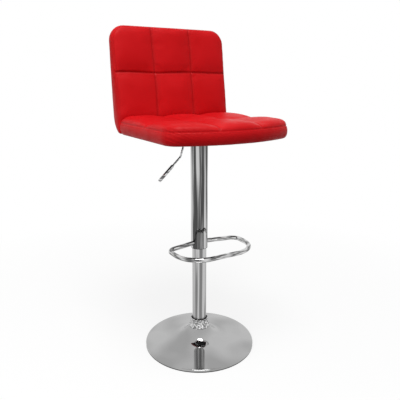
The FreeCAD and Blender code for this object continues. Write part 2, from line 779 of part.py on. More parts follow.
def make_upper_tube():
    tube = turned("upper_tube", ring(tube_bore, tube_radius, tube_bottom, tube_top))
    finish(tube, "upper_tube")
    cap = turned("upper_tube_cap", [
        (cylinder_radius_at(tube_cap_bottom) + fit, tube_cap_bottom),
        (tube_bore - fit, tube_cap_bottom),
        (tube_bore - fit, tube_cap_top),
        (cylinder_radius_at(tube_cap_top) + fit, tube_cap_top),
    ])
    finish(cap, "upper_tube_cap")
    lip_bottom_height = tube_bottom - fit - size["tube_guide_lip"]
    guide_bore = pole_radius + size["tube_guide_play"]
    guide = turned("upper_tube_guide", [
        (guide_bore, lip_bottom_height),
        (tube_radius - clearance, lip_bottom_height),
        (tube_radius - clearance, tube_bottom - fit),
        (tube_bore - fit, tube_bottom - fit),
        (tube_bore - fit, tube_bottom + size["tube_guide_length"]),
        (guide_bore, tube_bottom + size["tube_guide_length"]),
    ])
    finish(guide, "upper_tube_guide")


def make_footrest():
    """One bar, bent into a loop in front of the tube and coped against its sides."""
    height = (tube_bottom + size["footrest_rise"]).value
    half_width = size["footrest_half_width"].value
    reach = -size["footrest_reach"].value
    root = FreeCAD.Vector(pole_radius.value, -size["footrest_root"].value, height)
    shoulder = FreeCAD.Vector(half_width, -size["footrest_back_corner"].value, height)
    front = FreeCAD.Vector(half_width, reach, height)
    right_side = [root, shoulder, front]
    left_side = [FreeCAD.Vector(-point.x, point.y, point.z) for point in reversed(right_side)]
    rounds = [size["footrest_back_round"].value, size["footrest_front_round"].value]
    path = rounded_wire(right_side + left_side, rounds + rounds[::-1])
    thickness = size["footrest_bar_diameter"].value
    bar = rod_along(path, thickness / 2)
    bar = bar.cut(rod_along(path, thickness / 2 - size["footrest_bar_wall"].value))
    cope = Part.makeCylinder(
        tube_radius.value + fit.value, 2 * thickness, FreeCAD.Vector(0, 0, height - thickness))
    piece = doc.addObject("Part::Feature", "footrest_bar")
    piece.Shape = bar.cut(cope)
    finish(piece, "footrest_bar")


# The seat plate, the lever channel welded under it, the cone socket and the fasteners

half_spacing = size["plate_width"] / 2 - size["plate_hole_inset"]
bolt_places = [(half_spacing * side, half_spacing * end) for side in (-1, 1) for end in (-1, 1)]
bolt_radius = size["bolt_diameter"] / 2
tee_barrel_radius = bolt_radius + size["tee_barrel_wall"]
tee_flange_radius = tee_barrel_radius + size["tee_flange_step"]
cone_socket_radius = cylinder_radius + size["cone_socket_wall"]
channel_inner = cone_socket_radius + size["channel_side_gap"]
channel_outer = channel_inner + size["channel_wall"]
channel_half_length = size["lever_pivot_reach"] + size["channel_end"]
pivot_across = -size["lever_pivot_reach"]
pivot_pin_radius = size["pivot_pin_diameter"] / 2


def make_seat_plate():
    half = size["plate_width"] / 2
    plate = padded(
        "seat_plate", "XY_Plane", [(-half, -half), (half, -half), (half, half), (-half, half)],
        size["plate_thickness"],
        holes=[(across, along, bolt_radius + fit) for across, along in bolt_places])
    place(plate, up=plate_bottom)
    finish(plate, "seat_plate")

    floor = channel_bottom + size["channel_wall"]
    blank = padded("lever_channel_blank", "YZ_Plane", [
        (-channel_outer, channel_bottom),
        (channel_outer, channel_bottom),
        (channel_outer, plate_bottom - fit),
        (channel_inner, plate_bottom - fit),
        (channel_inner, floor),
        (-channel_inner, floor),
        (-channel_inner, plate_bottom - fit),
        (-channel_outer, plate_bottom - fit),
    ], 2 * channel_half_length, midplane=True)
    socket_hole = cylinder("socket_hole", cone_socket_radius + fit,
                           size["channel_wall"] + 2 * TOOL_MARGIN, up=channel_bottom - TOOL_MARGIN)
    pin_hole = cylinder_along_y("pivot_hole", pivot_pin_radius + fit,
                                2 * (channel_outer + TOOL_MARGIN), pivot_across, lever_height)
    finish(cut("lever_channel", blank, [socket_hole, pin_hole]), "lever_channel")

    socket = turned("cone_socket", [
        (cylinder_radius_at(cone_socket_bottom) + fit, cone_socket_bottom),
        (cone_socket_radius, cone_socket_bottom),
        (cone_socket_radius, cone_socket_top),
        (cylinder_radius_at(cone_socket_top) + fit, cone_socket_top),
    ])
    finish(socket, "cone_socket")
    pin = cylinder_along_y("lever_pivot_pin", pivot_pin_radius,
                           2 * (channel_outer + size["pivot_pin_end"]), pivot_across, lever_height)
    finish(pin, "lever_pivot_pin")


def make_seat_fasteners():
    bolts = []
    washers = []
    nuts = []
    washer_top = plate_bottom - fit
    washer_bottom = washer_top - size["washer_thickness"]
    head_bottom = washer_bottom - fit - size["bolt_head_height"]
    shank_bottom = head_bottom + size["bolt_head_height"] / 2
    shank_top = shell_top - fit
    nut_bottom = shell_bottom + clearance
    nut_length = shell_top - nut_bottom
    for index, (across, along) in enumerate(bolt_places):
        head = doc.addObject("Part::Prism", f"bolt_head_{index}")
        head.Polygon = 6
        bind(head, Circumradius=bolt_radius + size["bolt_head_step"],
             Height=size["bolt_head_height"])
        place(head, across, along, head_bottom)
        shank = cylinder(f"bolt_shank_{index}", bolt_radius, shank_top - shank_bottom,
                         across, along, shank_bottom)
        bolt = doc.addObject("Part::Fuse", f"seat_bolt_{index}")
        bolt.Base = head
        bolt.Tool = shank
        bolts.append(bolt)

        disc = cylinder(f"washer_disc_{index}", bolt_radius + size["washer_step"],
                        size["washer_thickness"], across, along, washer_bottom)
        hole = cylinder(f"washer_hole_{index}", bolt_radius + fit,
                        size["washer_thickness"] + 2 * TOOL_MARGIN,
                        across, along, washer_bottom - TOOL_MARGIN)
        washers.append(cut(f"seat_washer_{index}", disc, [hole]))

        barrel = cylinder(f"nut_barrel_{index}", tee_barrel_radius, nut_length,
                          across, along, nut_bottom)
        flange = cylinder(f"nut_flange_{index}", tee_flange_radius, size["tee_flange_thickness"],
                          across, along, shell_top - size["tee_flange_thickness"])
        blank = doc.addObject("Part::Fuse", f"nut_blank_{index}")
        blank.Base = barrel
        blank.Tool = flange
        thread = cylinder(f"nut_thread_{index}", bolt_radius + fit, nut_length + 2 * TOOL_MARGIN,
                          across, along, nut_bottom - TOOL_MARGIN)
        nuts.append(cut(f"tee_nut_{index}", blank, [thread]))
    finish(group("seat_bolts", bolts), "seat_bolts")
    finish(group("bolt_washers", washers), "bolt_washers")
    finish(group("tee_nuts", nuts), "tee_nuts")


# The lever: a bent rod welded to a cross tube, and its grip

def make_lever():
    height = lever_height.value
    knee = FreeCAD.Vector(-(channel_half_length + size["lever_knee_out"]).value, 0, height)
    elbow = knee - FreeCAD.Vector(size["lever_elbow_out"].value, 0, size["lever_elbow_drop"].value)
    grip_end = elbow - FreeCAD.Vector(size["lever_end_out"].value, 0, size["lever_end_drop"].value)
    outward = (grip_end - elbow).normalize()
    grip_length = size["grip_length"].value
    bore_depth = size["grip_bore_depth"].value
    grip_start = grip_end - outward * grip_length
    path = rounded_wire([
        FreeCAD.Vector(size["lever_tip"].value, 0, height),
        knee,
        elbow,
        grip_start + outward * bore_depth,
    ], [size["lever_bend_round"].value] * 2)
    rod = rod_along(path, lever_rod_radius.value)
    hub_length = 2 * (channel_inner.value - 2 * clearance.value)
    hub_place = FreeCAD.Vector(pivot_across.value, -hub_length / 2, height)
    along_y = FreeCAD.Vector(0, 1, 0)
    hub = Part.makeCylinder(size["lever_hub_diameter"].value / 2, hub_length, hub_place, along_y)
    bore = Part.makeCylinder(pivot_pin_radius.value + fit.value, hub_length, hub_place, along_y)
    piece = doc.addObject("Part::Feature", "lever_rod")
    piece.Shape = rod.fuse(hub).cut(bore).removeSplitter()
    finish(piece, "lever_rod")

    radius = size["grip_diameter"] / 2
    hole = lever_rod_radius + fit
    tip_round = size["grip_tip_round"]
    edge = size["grip_edge_bevel"]
    grip = turned("lever_grip", [
        (hole, 0),
        (radius - edge, 0),
        (radius, edge),
        (radius, size["grip_length"] - tip_round, tip_round, 1),
        (radius - tip_round, size["grip_length"]),
        (0, size["grip_length"]),
        (0, size["grip_bore_depth"] + clearance),
        (hole, size["grip_bore_depth"] + clearance),
    ])
    turn = FreeCAD.Rotation(FreeCAD.Vector(0, 0, 1), outward)
    grip.Placement = FreeCAD.Placement(grip_start, turn)
    finish(grip, "lever_grip")


# The upholstery. Plan outlines and quilted tops are lofted, then cut to the shared side profile.

half_width = size["seat_width"].value / 2
cell_width = size["seat_width"].value / CELLS_ACROSS
seat_crown = size["seat_edge_height"].value + size["seat_crown_rise"].value
lowest_seam = seat_crown - size["seam_depth"].value - size["row_seam_drop"].value
lean = math.radians(size["back_lean"].value)
lean_turn = FreeCAD.Rotation(FreeCAD.Vector(1, 0, 0), -size["back_lean"].value)
back_frame = FreeCAD.Placement(
    FreeCAD.Vector(0, size["back_foot"].value, seat_bottom.value), lean_turn)

# The rear face runs down from the upper edge with a lean of its own
rear_lean = math.radians(size["rear_lean"].value)
rear_rise = FreeCAD.Vector(0, math.sin(rear_lean), math.cos(rear_lean))
rear_outward = FreeCAD.Vector(0, math.cos(rear_lean), -math.sin(rear_lean))
rear_top = back_frame.multVec(
    FreeCAD.Vector(0, size["back_top_depth"].value, size["back_length"].value))
rear_length = (rear_top.z - seat_bottom.value) / rear_rise.z
rear_frame = FreeCAD.Placement(
    rear_top - rear_rise * rear_length,
    FreeCAD.Rotation(FreeCAD.Vector(1, 0, 0), -size["rear_lean"].value))
behind_back = rear_top.y + size["band_thickness"].value - size["back_foot"].value


def seat_outline(inset, height):
    """Plan outline of the seat, drawn in by inset, at a height."""
    side = half_width - inset
    corner = max(size["seat_corner_round"].value - inset, SMALLEST_CORNER)
    bow = size["seat_front_round"].value - inset
    bow_centre = -size["seat_front"].value + size["seat_front_round"].value
    reach = bow - corner
    corner_x = side - corner
    corner_y = bow_centre - math.sqrt(reach * reach - corner_x * corner_x)
    share = bow / reach
    tangent_x = corner_x * share
    tangent_y = bow_centre + (corner_y - bow_centre) * share
    middle = FreeCAD.Vector(tangent_x - corner_x + corner, tangent_y - corner_y, 0).normalize()
    rear = size["back_foot"].value + size["heel_round"].value * 2

    def at(across, along):
        return FreeCAD.Vector(across, along, height)

    right_mid = (corner_x + middle.x * corner, corner_y + middle.y * corner)
    edges = [
        Part.LineSegment(at(-side, rear), at(side, rear)),
        Part.LineSegment(at(side, rear), at(side, corner_y)),
        Part.Arc(at(side, corner_y), at(*right_mid), at(tangent_x, tangent_y)),
        Part.Arc(at(tangent_x, tangent_y), at(0, bow_centre - bow), at(-tangent_x, tangent_y)),
        Part.Arc(at(-tangent_x, tangent_y), at(-right_mid[0], right_mid[1]), at(-side, corner_y)),
        Part.LineSegment(at(-side, corner_y), at(-side, rear)),
    ]
    return Part.Wire([edge.toShape() for edge in edges])


def back_outline(inset, depth, length=size["back_length"].value):
    """Outline of the backrest in an upright frame of its own, at a depth in that frame."""
    side = half_width - inset
    top = length - inset
    corner = max(size["back_corner_round"].value - inset, SMALLEST_CORNER)
    diagonal = corner * (1 - math.sqrt(0.5))

    def at(across, up):
        return FreeCAD.Vector(across, depth, up)

    low = -size["heel_round"].value
    edges = [
        Part.LineSegment(at(-side, low), at(side, low)),
        Part.LineSegment(at(side, low), at(side, top - corner)),
        Part.Arc(at(side, top - corner), at(side - diagonal, top - diagonal), at(side - corner, top)),
        Part.LineSegment(at(side - corner, top), at(corner - side, top)),
        Part.Arc(at(corner - side, top), at(diagonal - side, top - diagonal),
                 at(-side, top - corner)),
        Part.LineSegment(at(-side, top - corner), at(-side, low)),
    ]
    return Part.Wire([edge.toShape() for edge in edges])


def quilt_section(point_at, floor, valley, crown):
    """A closed section with three bulging cells; point_at turns (across, height) into a point."""
    inner = cell_width / 2
    outer = half_width * CELL_OVERHANG
    seams = [outer, inner, -inner, -outer]
    edges = [
        Part.LineSegment(point_at(-outer, floor), point_at(outer, floor)),
        Part.LineSegment(point_at(outer, floor), point_at(outer, valley)),
    ]
    for first, last in zip(seams, seams[1:]):
        middle = (first + last) / 2
        edges.append(
            Part.Arc(point_at(first, valley), point_at(middle, crown), point_at(last, valley)))
    edges.append(Part.LineSegment(point_at(-outer, valley), point_at(-outer, floor)))
    return Part.Wire([edge.toShape() for edge in edges])


def row_stations(start, seam, end):
    """Stations across two rows of cells: (place, share of the full swell) pairs."""
    shoulder = size["shoulder_run"].value
    stations = []
    for low, high in ((start, seam), (seam, end)):
        stations += [(low + shoulder * run, swell) for run, swell in ROW_SWELL]
        stations.append(((low + high) / 2, 1))
        stations += [(high - shoulder * run, swell) for run, swell in ROW_SWELL[:0:-1]]
    stations.append((end, 0))
    return stations


def side_profile(inset):
    """Side view of the stool's rear: underside, rounded heel, and a rear face that runs far up."""
    heel = size["heel_round"].value
    low = seat_bottom.value + inset
    upper_end = rear_top - rear_outward * inset
    radius = heel - inset
    centre_height = seat_bottom.value + heel
    along = (upper_end.z - centre_height - radius * rear_outward.z) / rear_rise.z
    tangent = upper_end - rear_rise * along
    centre = tangent - rear_outward * radius
    foot = FreeCAD.Vector(0, centre.y, low)
    half_way = (rear_outward + FreeCAD.Vector(0, 0, -1)).normalize()
    return foot, centre + half_way * radius, tangent, tangent + rear_rise * FAR


def inside_profile(inset):
    """Wide prism of the side view: all that lies inside the outer face less an inset."""
    foot, bend, tangent, top = side_profile(inset)
    front_low = FreeCAD.Vector(0, -FAR, foot.z)
    front_high = FreeCAD.Vector(0, -FAR, top.z)
    edges = [
        Part.LineSegment(front_low, foot),
        Part.Arc(foot, bend, tangent),
        Part.LineSegment(tangent, top),
        Part.LineSegment(top, front_high),
        Part.LineSegment(front_high, front_low),
    ]
    face = Part.Face(Part.Wire([edge.toShape() for edge in edges]))
    prism = face.extrude(FreeCAD.Vector(2 * FAR, 0, 0))
    prism.translate(FreeCAD.Vector(-FAR, 0, 0))
    return prism


def behind_plane(depth):
    """Everything behind a plane at a depth in the backrest's frame."""
    block = Part.makeBox(2 * FAR, FAR, 3 * FAR, FreeCAD.Vector(-FAR, depth, -FAR))
    block.Placement = back_frame.multiply(block.Placement)
    return block


def prism_between(outline, low, high):
    """Solid between two copies of an outline."""
    return Part.makeLoft([outline(low), outline(high)], True, True)


def seat_room(inset, low, high):
    """Inside of the seat's side bands, less an inset."""
    return prism_between(lambda height: seat_outline(inset, height), low, high)


def back_room(inset, near, far):
    """Inside of the backrest's side bands, less an inset."""
    room = prism_between(lambda depth: back_outline(inset, depth), near, far)
    room.Placement = back_frame
    return room


def ahead_of(along, height):
    """Everything in front of a point of the side view."""
    corner = FreeCAD.Vector(-FAR, along - 2 * FAR, height - FAR)
    return Part.makeBox(2 * FAR, 2 * FAR, 2 * FAR, corner)


def bolt_drill(radius, low, high):
    """Four upright cylinders at the bolts, for drilling holes between two heights."""
    drills = []
    for across, along in bolt_places:
        foot = FreeCAD.Vector(across.value, along.value, low)
        drills.append(Part.makeCylinder(radius, high - low, foot))
    return Part.makeCompound(drills)


def keep_shape(name, shape):
    """Store a computed solid as a sub-part."""
    piece = doc.addObject("Part::Feature", name)
    piece.Shape = shape.Solids[0] if len(shape.Solids) == 1 else shape
    finish(piece, name)


def make_seat_form(inside):
    """Outer form of the seat: drawn-in sides under a quilted top."""
    low = seat_bottom.value
    edge = size["seat_edge_height"].value
    rise = size["seat_crown_rise"].value
    seam = size["seam_depth"].value
    drop = size["row_seam_drop"].value
    sides = [
        (size["cushion_tuck"].value, 0),
        (0, edge / 2),
        (size["seat_edge_inset"].value, edge),
        (size["seat_shoulder_inset"].value, edge + rise * SEAT_SHOULDER),
        (size["shoulder_run"].value, seat_crown + size["seat_edge_inset"].value),
    ]
    puck = Part.makeLoft([seat_outline(inset, low + up) for inset, up in sides], True, True)

    front = -size["seat_front"].value - size["seat_edge_inset"].value
    rear = size["back_foot"].value + size["quilt_thickness"].value
    sections = []
    for along, swell in row_stations(front, -size["seat_row_seam"].value, rear):
        valley = low + lowest_seam + swell * drop
        top = valley + seam * (CELL_SLACK + (1 - CELL_SLACK) * swell)

        def point_at(across, height, along=along):
            return FreeCAD.Vector(across, along, height)

        sections.append(quilt_section(point_at, low - TOOL_MARGIN, valley, top))
    quilted = Part.makeLoft(sections, True, True)
    form = puck.common(quilted).common(inside)
    return form.cut(behind_plane(-size["crease_gap"].value))


def make_back_form(inside):
    """Outer form of the backrest: a quilted front between drawn-in side bands."""
    crown = size["back_crown"].value
    slices = [
        (behind_back, 0),
        (size["back_top_depth"].value * CELL_SLACK, 0),
        (0, size["back_edge_inset"].value),
        (-crown * BACK_SHOULDER, size["back_shoulder_inset"].value),
        (-crown - size["quilt_thickness"].value / 2, size["shoulder_run"].value),
    ]
    block = Part.makeLoft([back_outline(inset, place) for place, inset in slices], True, True)
    block.Placement = back_frame

    # Edges that draw in towards the rear face
    tuck = size["back_tuck"].value
    reach = size["back_tuck_depth"].value
    edges = [(0, tuck), (-reach / 2, tuck / 4), (-reach, 0), (-behind_back, 0)]
    drawn = Part.makeLoft(
        [back_outline(inset, place, rear_length) for place, inset in edges], True, True)
    drawn.Placement = rear_frame

    length = size["back_length"].value
    rows = row_stations(seat_crown, size["back_row_seam"].value, length)
    rows.insert(0, (-size["heel_round"].value, 0))
    rows.append((length + size["band_thickness"].value, 0))
    sections = []
    for up, swell in rows:
        valley = size["back_seam_swell"].value * swell
        top = clearance.value + crown * swell

        def point_at(across, forward, up=up):
            return FreeCAD.Vector(across, -forward, up)

        sections.append(quilt_section(point_at, -behind_back - TOOL_MARGIN, valley, top))
    quilted = Part.makeLoft(sections, True, True)
    quilted.Placement = back_frame
    return block.common(quilted).common(drawn).common(inside)


def make_upholstery():
    low = seat_bottom.value
    band = size["band_thickness"].value
    quilt = size["quilt_thickness"].value
    gap = clearance.value
    play = fit.value
    inside = inside_profile(0)
    heel_centre = side_profile(0)[0].y
    foam_top = low + lowest_seam - size["foam_cover"].value
    foam_bottom = shell_top.value + gap

    # One room for shell and foam runs through both covers
    room_bottom = low - TOOL_MARGIN
    seat_cavity = seat_room(band, room_bottom, foam_top + gap)
    back_cavity = back_room(band, quilt, behind_back)
    for name, form in (("seat_cover", make_seat_form(inside)), ("back_cover", make_back_form(inside))):
        keep_shape(name, form.cut(seat_cavity).cut(back_cavity))

    # Bent plywood shell, with countersunk holes for the tee nuts
    shell_inset = size["shell_inset"].value
    shell_inside = shell_inset + size["shell_thickness"].value
    seat_inner = seat_room(band + gap, room_bottom, foam_top)
    back_inner = back_room(band + gap, quilt, behind_back)
    shell = inside_profile(shell_inset).cut(inside_profile(shell_inside))
    shell = shell.common(seat_inner.fuse(back_inner))
    barrel_radius = tee_barrel_radius.value
    recess_bottom = shell_top.value - size["tee_flange_thickness"].value - play
    shell = shell.cut(bolt_drill(barrel_radius + play, room_bottom, foam_bottom))
    shell = shell.cut(bolt_drill(tee_flange_radius.value + play, recess_bottom, foam_bottom))
    keep_shape("plywood_shell", shell)

    # Foam blocks in front of the shell
    seat_foam = seat_room(band + gap, foam_bottom, foam_top)
    keep_shape("seat_foam", seat_foam.common(ahead_of(heel_centre, low)))
    back_foam = back_room(band + gap, quilt + gap, behind_back)
    back_foam = back_foam.common(inside_profile(shell_inside + gap))
    heel_corner = FreeCAD.Vector(-FAR, -FAR, size["heel_round"].value - FAR)
    below_heel = Part.makeBox(2 * FAR, 2 * FAR, FAR, heel_corner)
    below_heel.Placement = back_frame.multiply(below_heel.Placement)
    keep_shape("back_foam", back_foam.cut(below_heel))

    # Rear panel: a thin skin round the heel and up the back, inside the side bands
    panel = inside.cut(inside_profile(size["panel_thickness"].value)).common(back_inner)
    keep_shape("back_panel", panel.cut(ahead_of(heel_centre, low)))

    # Cloth under the seat, in front of the rear panel, with holes for the bolts
    cloth = seat_room(band + gap, dust_bottom.value, dust_top.value)
    cloth = cloth.common(ahead_of(heel_centre - gap, low))
    cloth = cloth.cut(bolt_drill(barrel_radius, room_bottom, foam_bottom))
    keep_shape("dust_cover", cloth)


make_foot()
make_pole()
make_bearing()
make_rod()
make_cylinder()
make_upper_tube()
make_footrest()
make_seat_plate()
make_seat_fasteners()
make_lever()
make_upholstery()
doc.recompute()

faults = []
for item in doc.Objects:
    if any(state in ("Invalid", "Error") for state in item.State):
        faults.append(f"{item.Name}: {item.State}")
for piece in finished:
    if piece.Shape.isNull() or not piece.Shape.isValid():
        faults.append(f"{piece.Label}: no valid shape")
if faults:
    raise RuntimeError("; ".join(faults))

for piece in finished:
    piece.Shape.exportStep(f"parts/{piece.Label}.step")
    box = piece.Shape.BoundBox
    print(f"{piece.Label}: {len(piece.Shape.Solids)} solid(s), {piece.Shape.Volume:.0f} mm3, "
          f"z {box.ZMin:.1f} to {box.ZMax:.1f}")
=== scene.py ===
import math

import bmesh
import bpy
import numpy as np
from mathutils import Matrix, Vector
from mathutils.bvhtree import BVHTree


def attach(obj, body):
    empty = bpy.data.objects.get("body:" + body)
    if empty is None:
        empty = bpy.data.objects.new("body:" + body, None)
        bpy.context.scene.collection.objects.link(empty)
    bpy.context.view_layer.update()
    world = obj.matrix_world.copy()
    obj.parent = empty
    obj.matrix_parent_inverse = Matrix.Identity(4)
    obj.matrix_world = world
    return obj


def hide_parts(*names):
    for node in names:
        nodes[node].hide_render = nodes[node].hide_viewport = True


# Looks of the counter stool, in metres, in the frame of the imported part.
# +Z is up, the origin is on the floor under the column, and the sitter faces -Y.

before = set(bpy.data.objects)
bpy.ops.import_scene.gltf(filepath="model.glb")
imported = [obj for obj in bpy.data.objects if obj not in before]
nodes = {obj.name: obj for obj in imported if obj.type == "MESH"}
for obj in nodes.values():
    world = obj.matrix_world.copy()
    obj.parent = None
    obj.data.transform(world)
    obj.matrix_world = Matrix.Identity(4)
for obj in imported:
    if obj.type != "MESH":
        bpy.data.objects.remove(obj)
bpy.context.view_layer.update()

# Sizes of the upholstery, as in the solids
MM = 0.001
HALF_WIDTH = 213 * MM
CELL = 142 * MM
SEAT_BOTTOM = 744 * MM
SEAT_FRONT = 245 * MM
SEAT_BOW = 450 * MM
SEAT_CORNER = 48 * MM
SEAT_EDGE = 783 * MM
SEAT_ROW_SEAM = -44 * MM
SEAT_RUN = 34 * MM
BACK_FOOT = 149 * MM
BACK_LEAN = math.radians(8.5)
BACK_LENGTH = 353 * MM
BACK_TOP_DEPTH = 28 * MM
BACK_CORNER = 48 * MM
BACK_ROW_SEAM = 202 * MM
REAR_LEAN = math.radians(2.5)
HEEL_ROUND = 66 * MM
BAND = 14.3 * MM
QUILT = 10.3 * MM
CREASE_GAP = 1 * MM
STRAIGHT = 100


# Node materials

def new_material(name, base, roughness, metallic=0.0):
    """A principled material with its plain values on the shader's own sockets."""
    material = bpy.data.materials.new(name)
    material.use_nodes = True
    shader = material.node_tree.nodes["Principled BSDF"]
    shader.inputs["Base Color"].default_value = (*base, 1)
    shader.inputs["Roughness"].default_value = roughness
    shader.inputs["Metallic"].default_value = metallic
    return material, material.node_tree, shader


def add_node(tree, kind, **settings):
    """Add a shader node with its properties set."""
    node = tree.nodes.new(kind)
    for key, value in settings.items():
        setattr(node, key, value)
    return node


def noise_of(tree, scale, detail=3.0, stretch=(1, 1, 1)):
    """Noise in object coordinates, as a value socket."""
    coordinates = add_node(tree, "ShaderNodeTexCoord")
    mapping = add_node(tree, "ShaderNodeMapping")
    mapping.inputs["Scale"].default_value = stretch
    noise = add_node(tree, "ShaderNodeTexNoise")
    noise.inputs["Scale"].default_value = scale
    noise.inputs["Detail"].default_value = detail
    tree.links.new(coordinates.outputs["Object"], mapping.inputs["Vector"])
    tree.links.new(mapping.outputs["Vector"], noise.inputs["Vector"])
    return noise.outputs["Fac"]


def cells_of(tree, scale):
    """Voronoi distance in object coordinates, as a value socket."""
    coordinates = add_node(tree, "ShaderNodeTexCoord")
    cells = add_node(tree, "ShaderNodeTexVoronoi")
    cells.inputs["Scale"].default_value = scale
    tree.links.new(coordinates.outputs["Object"], cells.inputs["Vector"])
    return cells.outputs["Distance"]


def spread(tree, value, low, high, from_low=0.3, from_high=0.7):
    """Map a texture value onto a range."""
    mapped = add_node(tree, "ShaderNodeMapRange")
    mapped.inputs["From Min"].default_value = from_low
    mapped.inputs["From Max"].default_value = from_high
    mapped.inputs["To Min"].default_value = low
    mapped.inputs["To Max"].default_value = high
    tree.links.new(value, mapped.inputs["Value"])
    return mapped.outputs["Result"]


def mix_colours(tree, value, first, second):
    """Blend two colours by a value."""
    mix = add_node(tree, "ShaderNodeMix", data_type="RGBA")
    mix.inputs[6].default_value = (*first, 1)
    mix.inputs[7].default_value = (*second, 1)
    tree.links.new(value, mix.inputs["Factor"])
    return mix.outputs[2]


def bump_chain(tree, shader, layers):
    """Stack bumps: (value socket, strength, depth in metres) from coarse to fine."""
    normal = None
    for value, strength, depth in layers:
        bump = add_node(tree, "ShaderNodeBump")
        bump.inputs["Strength"].default_value = strength
        bump.inputs["Distance"].default_value = depth
        tree.links.new(value, bump.inputs["Height"])
        if normal is not None:
            tree.links.new(normal, bump.inputs["Normal"])
        normal = bump.outputs["Normal"]
    tree.links.new(normal, shader.inputs["Normal"])


def leatherette(name, shade=1.0):
    """Red leatherette: fine grain, soft creases, a satin shine and painted shade darkening its seams."""
    base = (0.56 * shade, 0.006 * shade, 0.009 * shade)
    deep = (0.50 * shade, 0.003 * shade, 0.005 * shade)
    material, tree, shader = new_material(name, base, 0.45)
    shader.inputs["Specular IOR Level"].default_value = 0.1
    tone = spread(tree, noise_of(tree, 9, 2), 0, 1)
    # Painted shade: the seam_shade attribute darkens the colour towards a deep red along the seam
    # grooves.
    painted_seam_shade = add_node(tree, "ShaderNodeAttribute", attribute_name="seam_shade")
    sewn = add_node(tree, "ShaderNodeMix", data_type="RGBA")
    sewn.inputs[7].default_value = (0.22 * shade, 0.001 * shade, 0.001 * shade, 1)
    tree.links.new(painted_seam_shade.outputs["Fac"], sewn.inputs["Factor"])
    tree.links.new(mix_colours(tree, tone, base, deep), sewn.inputs[6])
    tree.links.new(sewn.outputs[2], shader.inputs["Base Color"])
    tree.links.new(spread(tree, noise_of(tree, 35, 4), 0.4, 0.52), shader.inputs["Roughness"])
    bump_chain(tree, shader, [
        (noise_of(tree, 55, 3), 0.25, 0.0006),
        (cells_of(tree, 900), 0.35, 0.00012),
        (noise_of(tree, 1500, 2), 0.2, 0.00005),
    ])
    return material


def chrome(name, dark, light, bands, roughness=0.05, ripple=(26, 0.04, 0.0004)):
    """Polished chrome with darker and lighter bands of painted reflection in its colour; ripple is its
    scale, strength and depth.
    """
    material, tree, shader = new_material(name, [light] * 3, roughness, 1.0)
    scale, detail, stretch, middle, softness = bands
    # The dark and light bands are painted reflection: streaks in the colour that stand in for dark and
    # light surroundings mirrored in the metal.
    painted_reflection = noise_of(tree, scale, detail, stretch)
    share = spread(tree, painted_reflection, 0, 1, middle - softness, middle + softness)
    tree.links.new(mix_colours(tree, share, [dark] * 3, [light] * 3), shader.inputs["Base Color"])
    haze = noise_of(tree, 18, 4)
    tree.links.new(spread(tree, haze, roughness * 0.7, roughness * 1.6), shader.inputs["Roughness"])
    scale, strength, depth = ripple
    bump_chain(tree, shader, [(noise_of(tree, scale, 2), strength, depth)])
    return material


def metal(name, base, roughness, grain=400):
    """Bare or zinc-plated steel with fine turning marks."""
    material, tree, shader = new_material(name, base, roughness, 1.0)
    marks = noise_of(tree, grain, 4, (1, 1, 6))
    tree.links.new(spread(tree, marks, roughness * 0.75, roughness * 1.3), shader.inputs["Roughness"])
    bump_chain(tree, shader, [(marks, 0.15, 0.00005)])
    return material


def painted(name, base, roughness):
    """Powder coat with a fine orange-peel surface."""
    material, tree, shader = new_material(name, base, roughness)
    tree.links.new(
        mix_colours(tree, noise_of(tree, 30, 3), base, [part * 1.35 for part in base]),
        shader.inputs["Base Color"])
    bump_chain(tree, shader, [(noise_of(tree, 700, 2), 0.3, 0.00008)])
    return material


def plastic(name, base, roughness):
    """Moulded plastic or rubber with a fine matt grain."""
    material, tree, shader = new_material(name, base, roughness)
    tree.links.new(
        mix_colours(tree, noise_of(tree, 60, 3), base, [part * 1.5 for part in base]),
        shader.inputs["Base Color"])
    bump_chain(tree, shader, [(cells_of(tree, 1200), 0.2, 0.00006)])
    return material


def plywood(name):
    """Birch plywood: long grain across, with the plies showing at the edges."""
    light = (0.62, 0.45, 0.27)
    dark = (0.45, 0.30, 0.16)
    material, tree, shader = new_material(name, light, 0.6)
    grain = noise_of(tree, 40, 5, (0.3, 3, 3))
    tree.links.new(mix_colours(tree, spread(tree, grain, 0, 1), light, dark),
                   shader.inputs["Base Color"])
    bump_chain(tree, shader, [(grain, 0.2, 0.0002)])
    return material


def open_foam(name):
    """Cream polyurethane foam with open cells."""
    light = (0.80, 0.70, 0.45)
    dark = (0.62, 0.52, 0.30)
    material, tree, shader = new_material(name, light, 0.95)
    cells = cells_of(tree, 700)
    tree.links.new(mix_colours(tree, spread(tree, cells, 0, 1, 0, 0.6), dark, light),
                   shader.inputs["Base Color"])
    bump_chain(tree, shader, [(cells, 0.6, 0.0004)])
    return material


def felted_cloth(name):
    """Black non-woven cloth with a dimpled emboss."""
    base = (0.018, 0.018, 0.02)
    material, tree, shader = new_material(name, base, 0.9)
    shader.inputs["Sheen Weight"].default_value = 0.15
    fibres = noise_of(tree, 500, 6)
    tree.links.new(mix_colours(tree, fibres, base, (0.045, 0.045, 0.048)),
                   shader.inputs["Base Color"])
    bump_chain(tree, shader, [(cells_of(tree, 420), 0.5, 0.0003), (fibres, 0.4, 0.0001)])
    return material


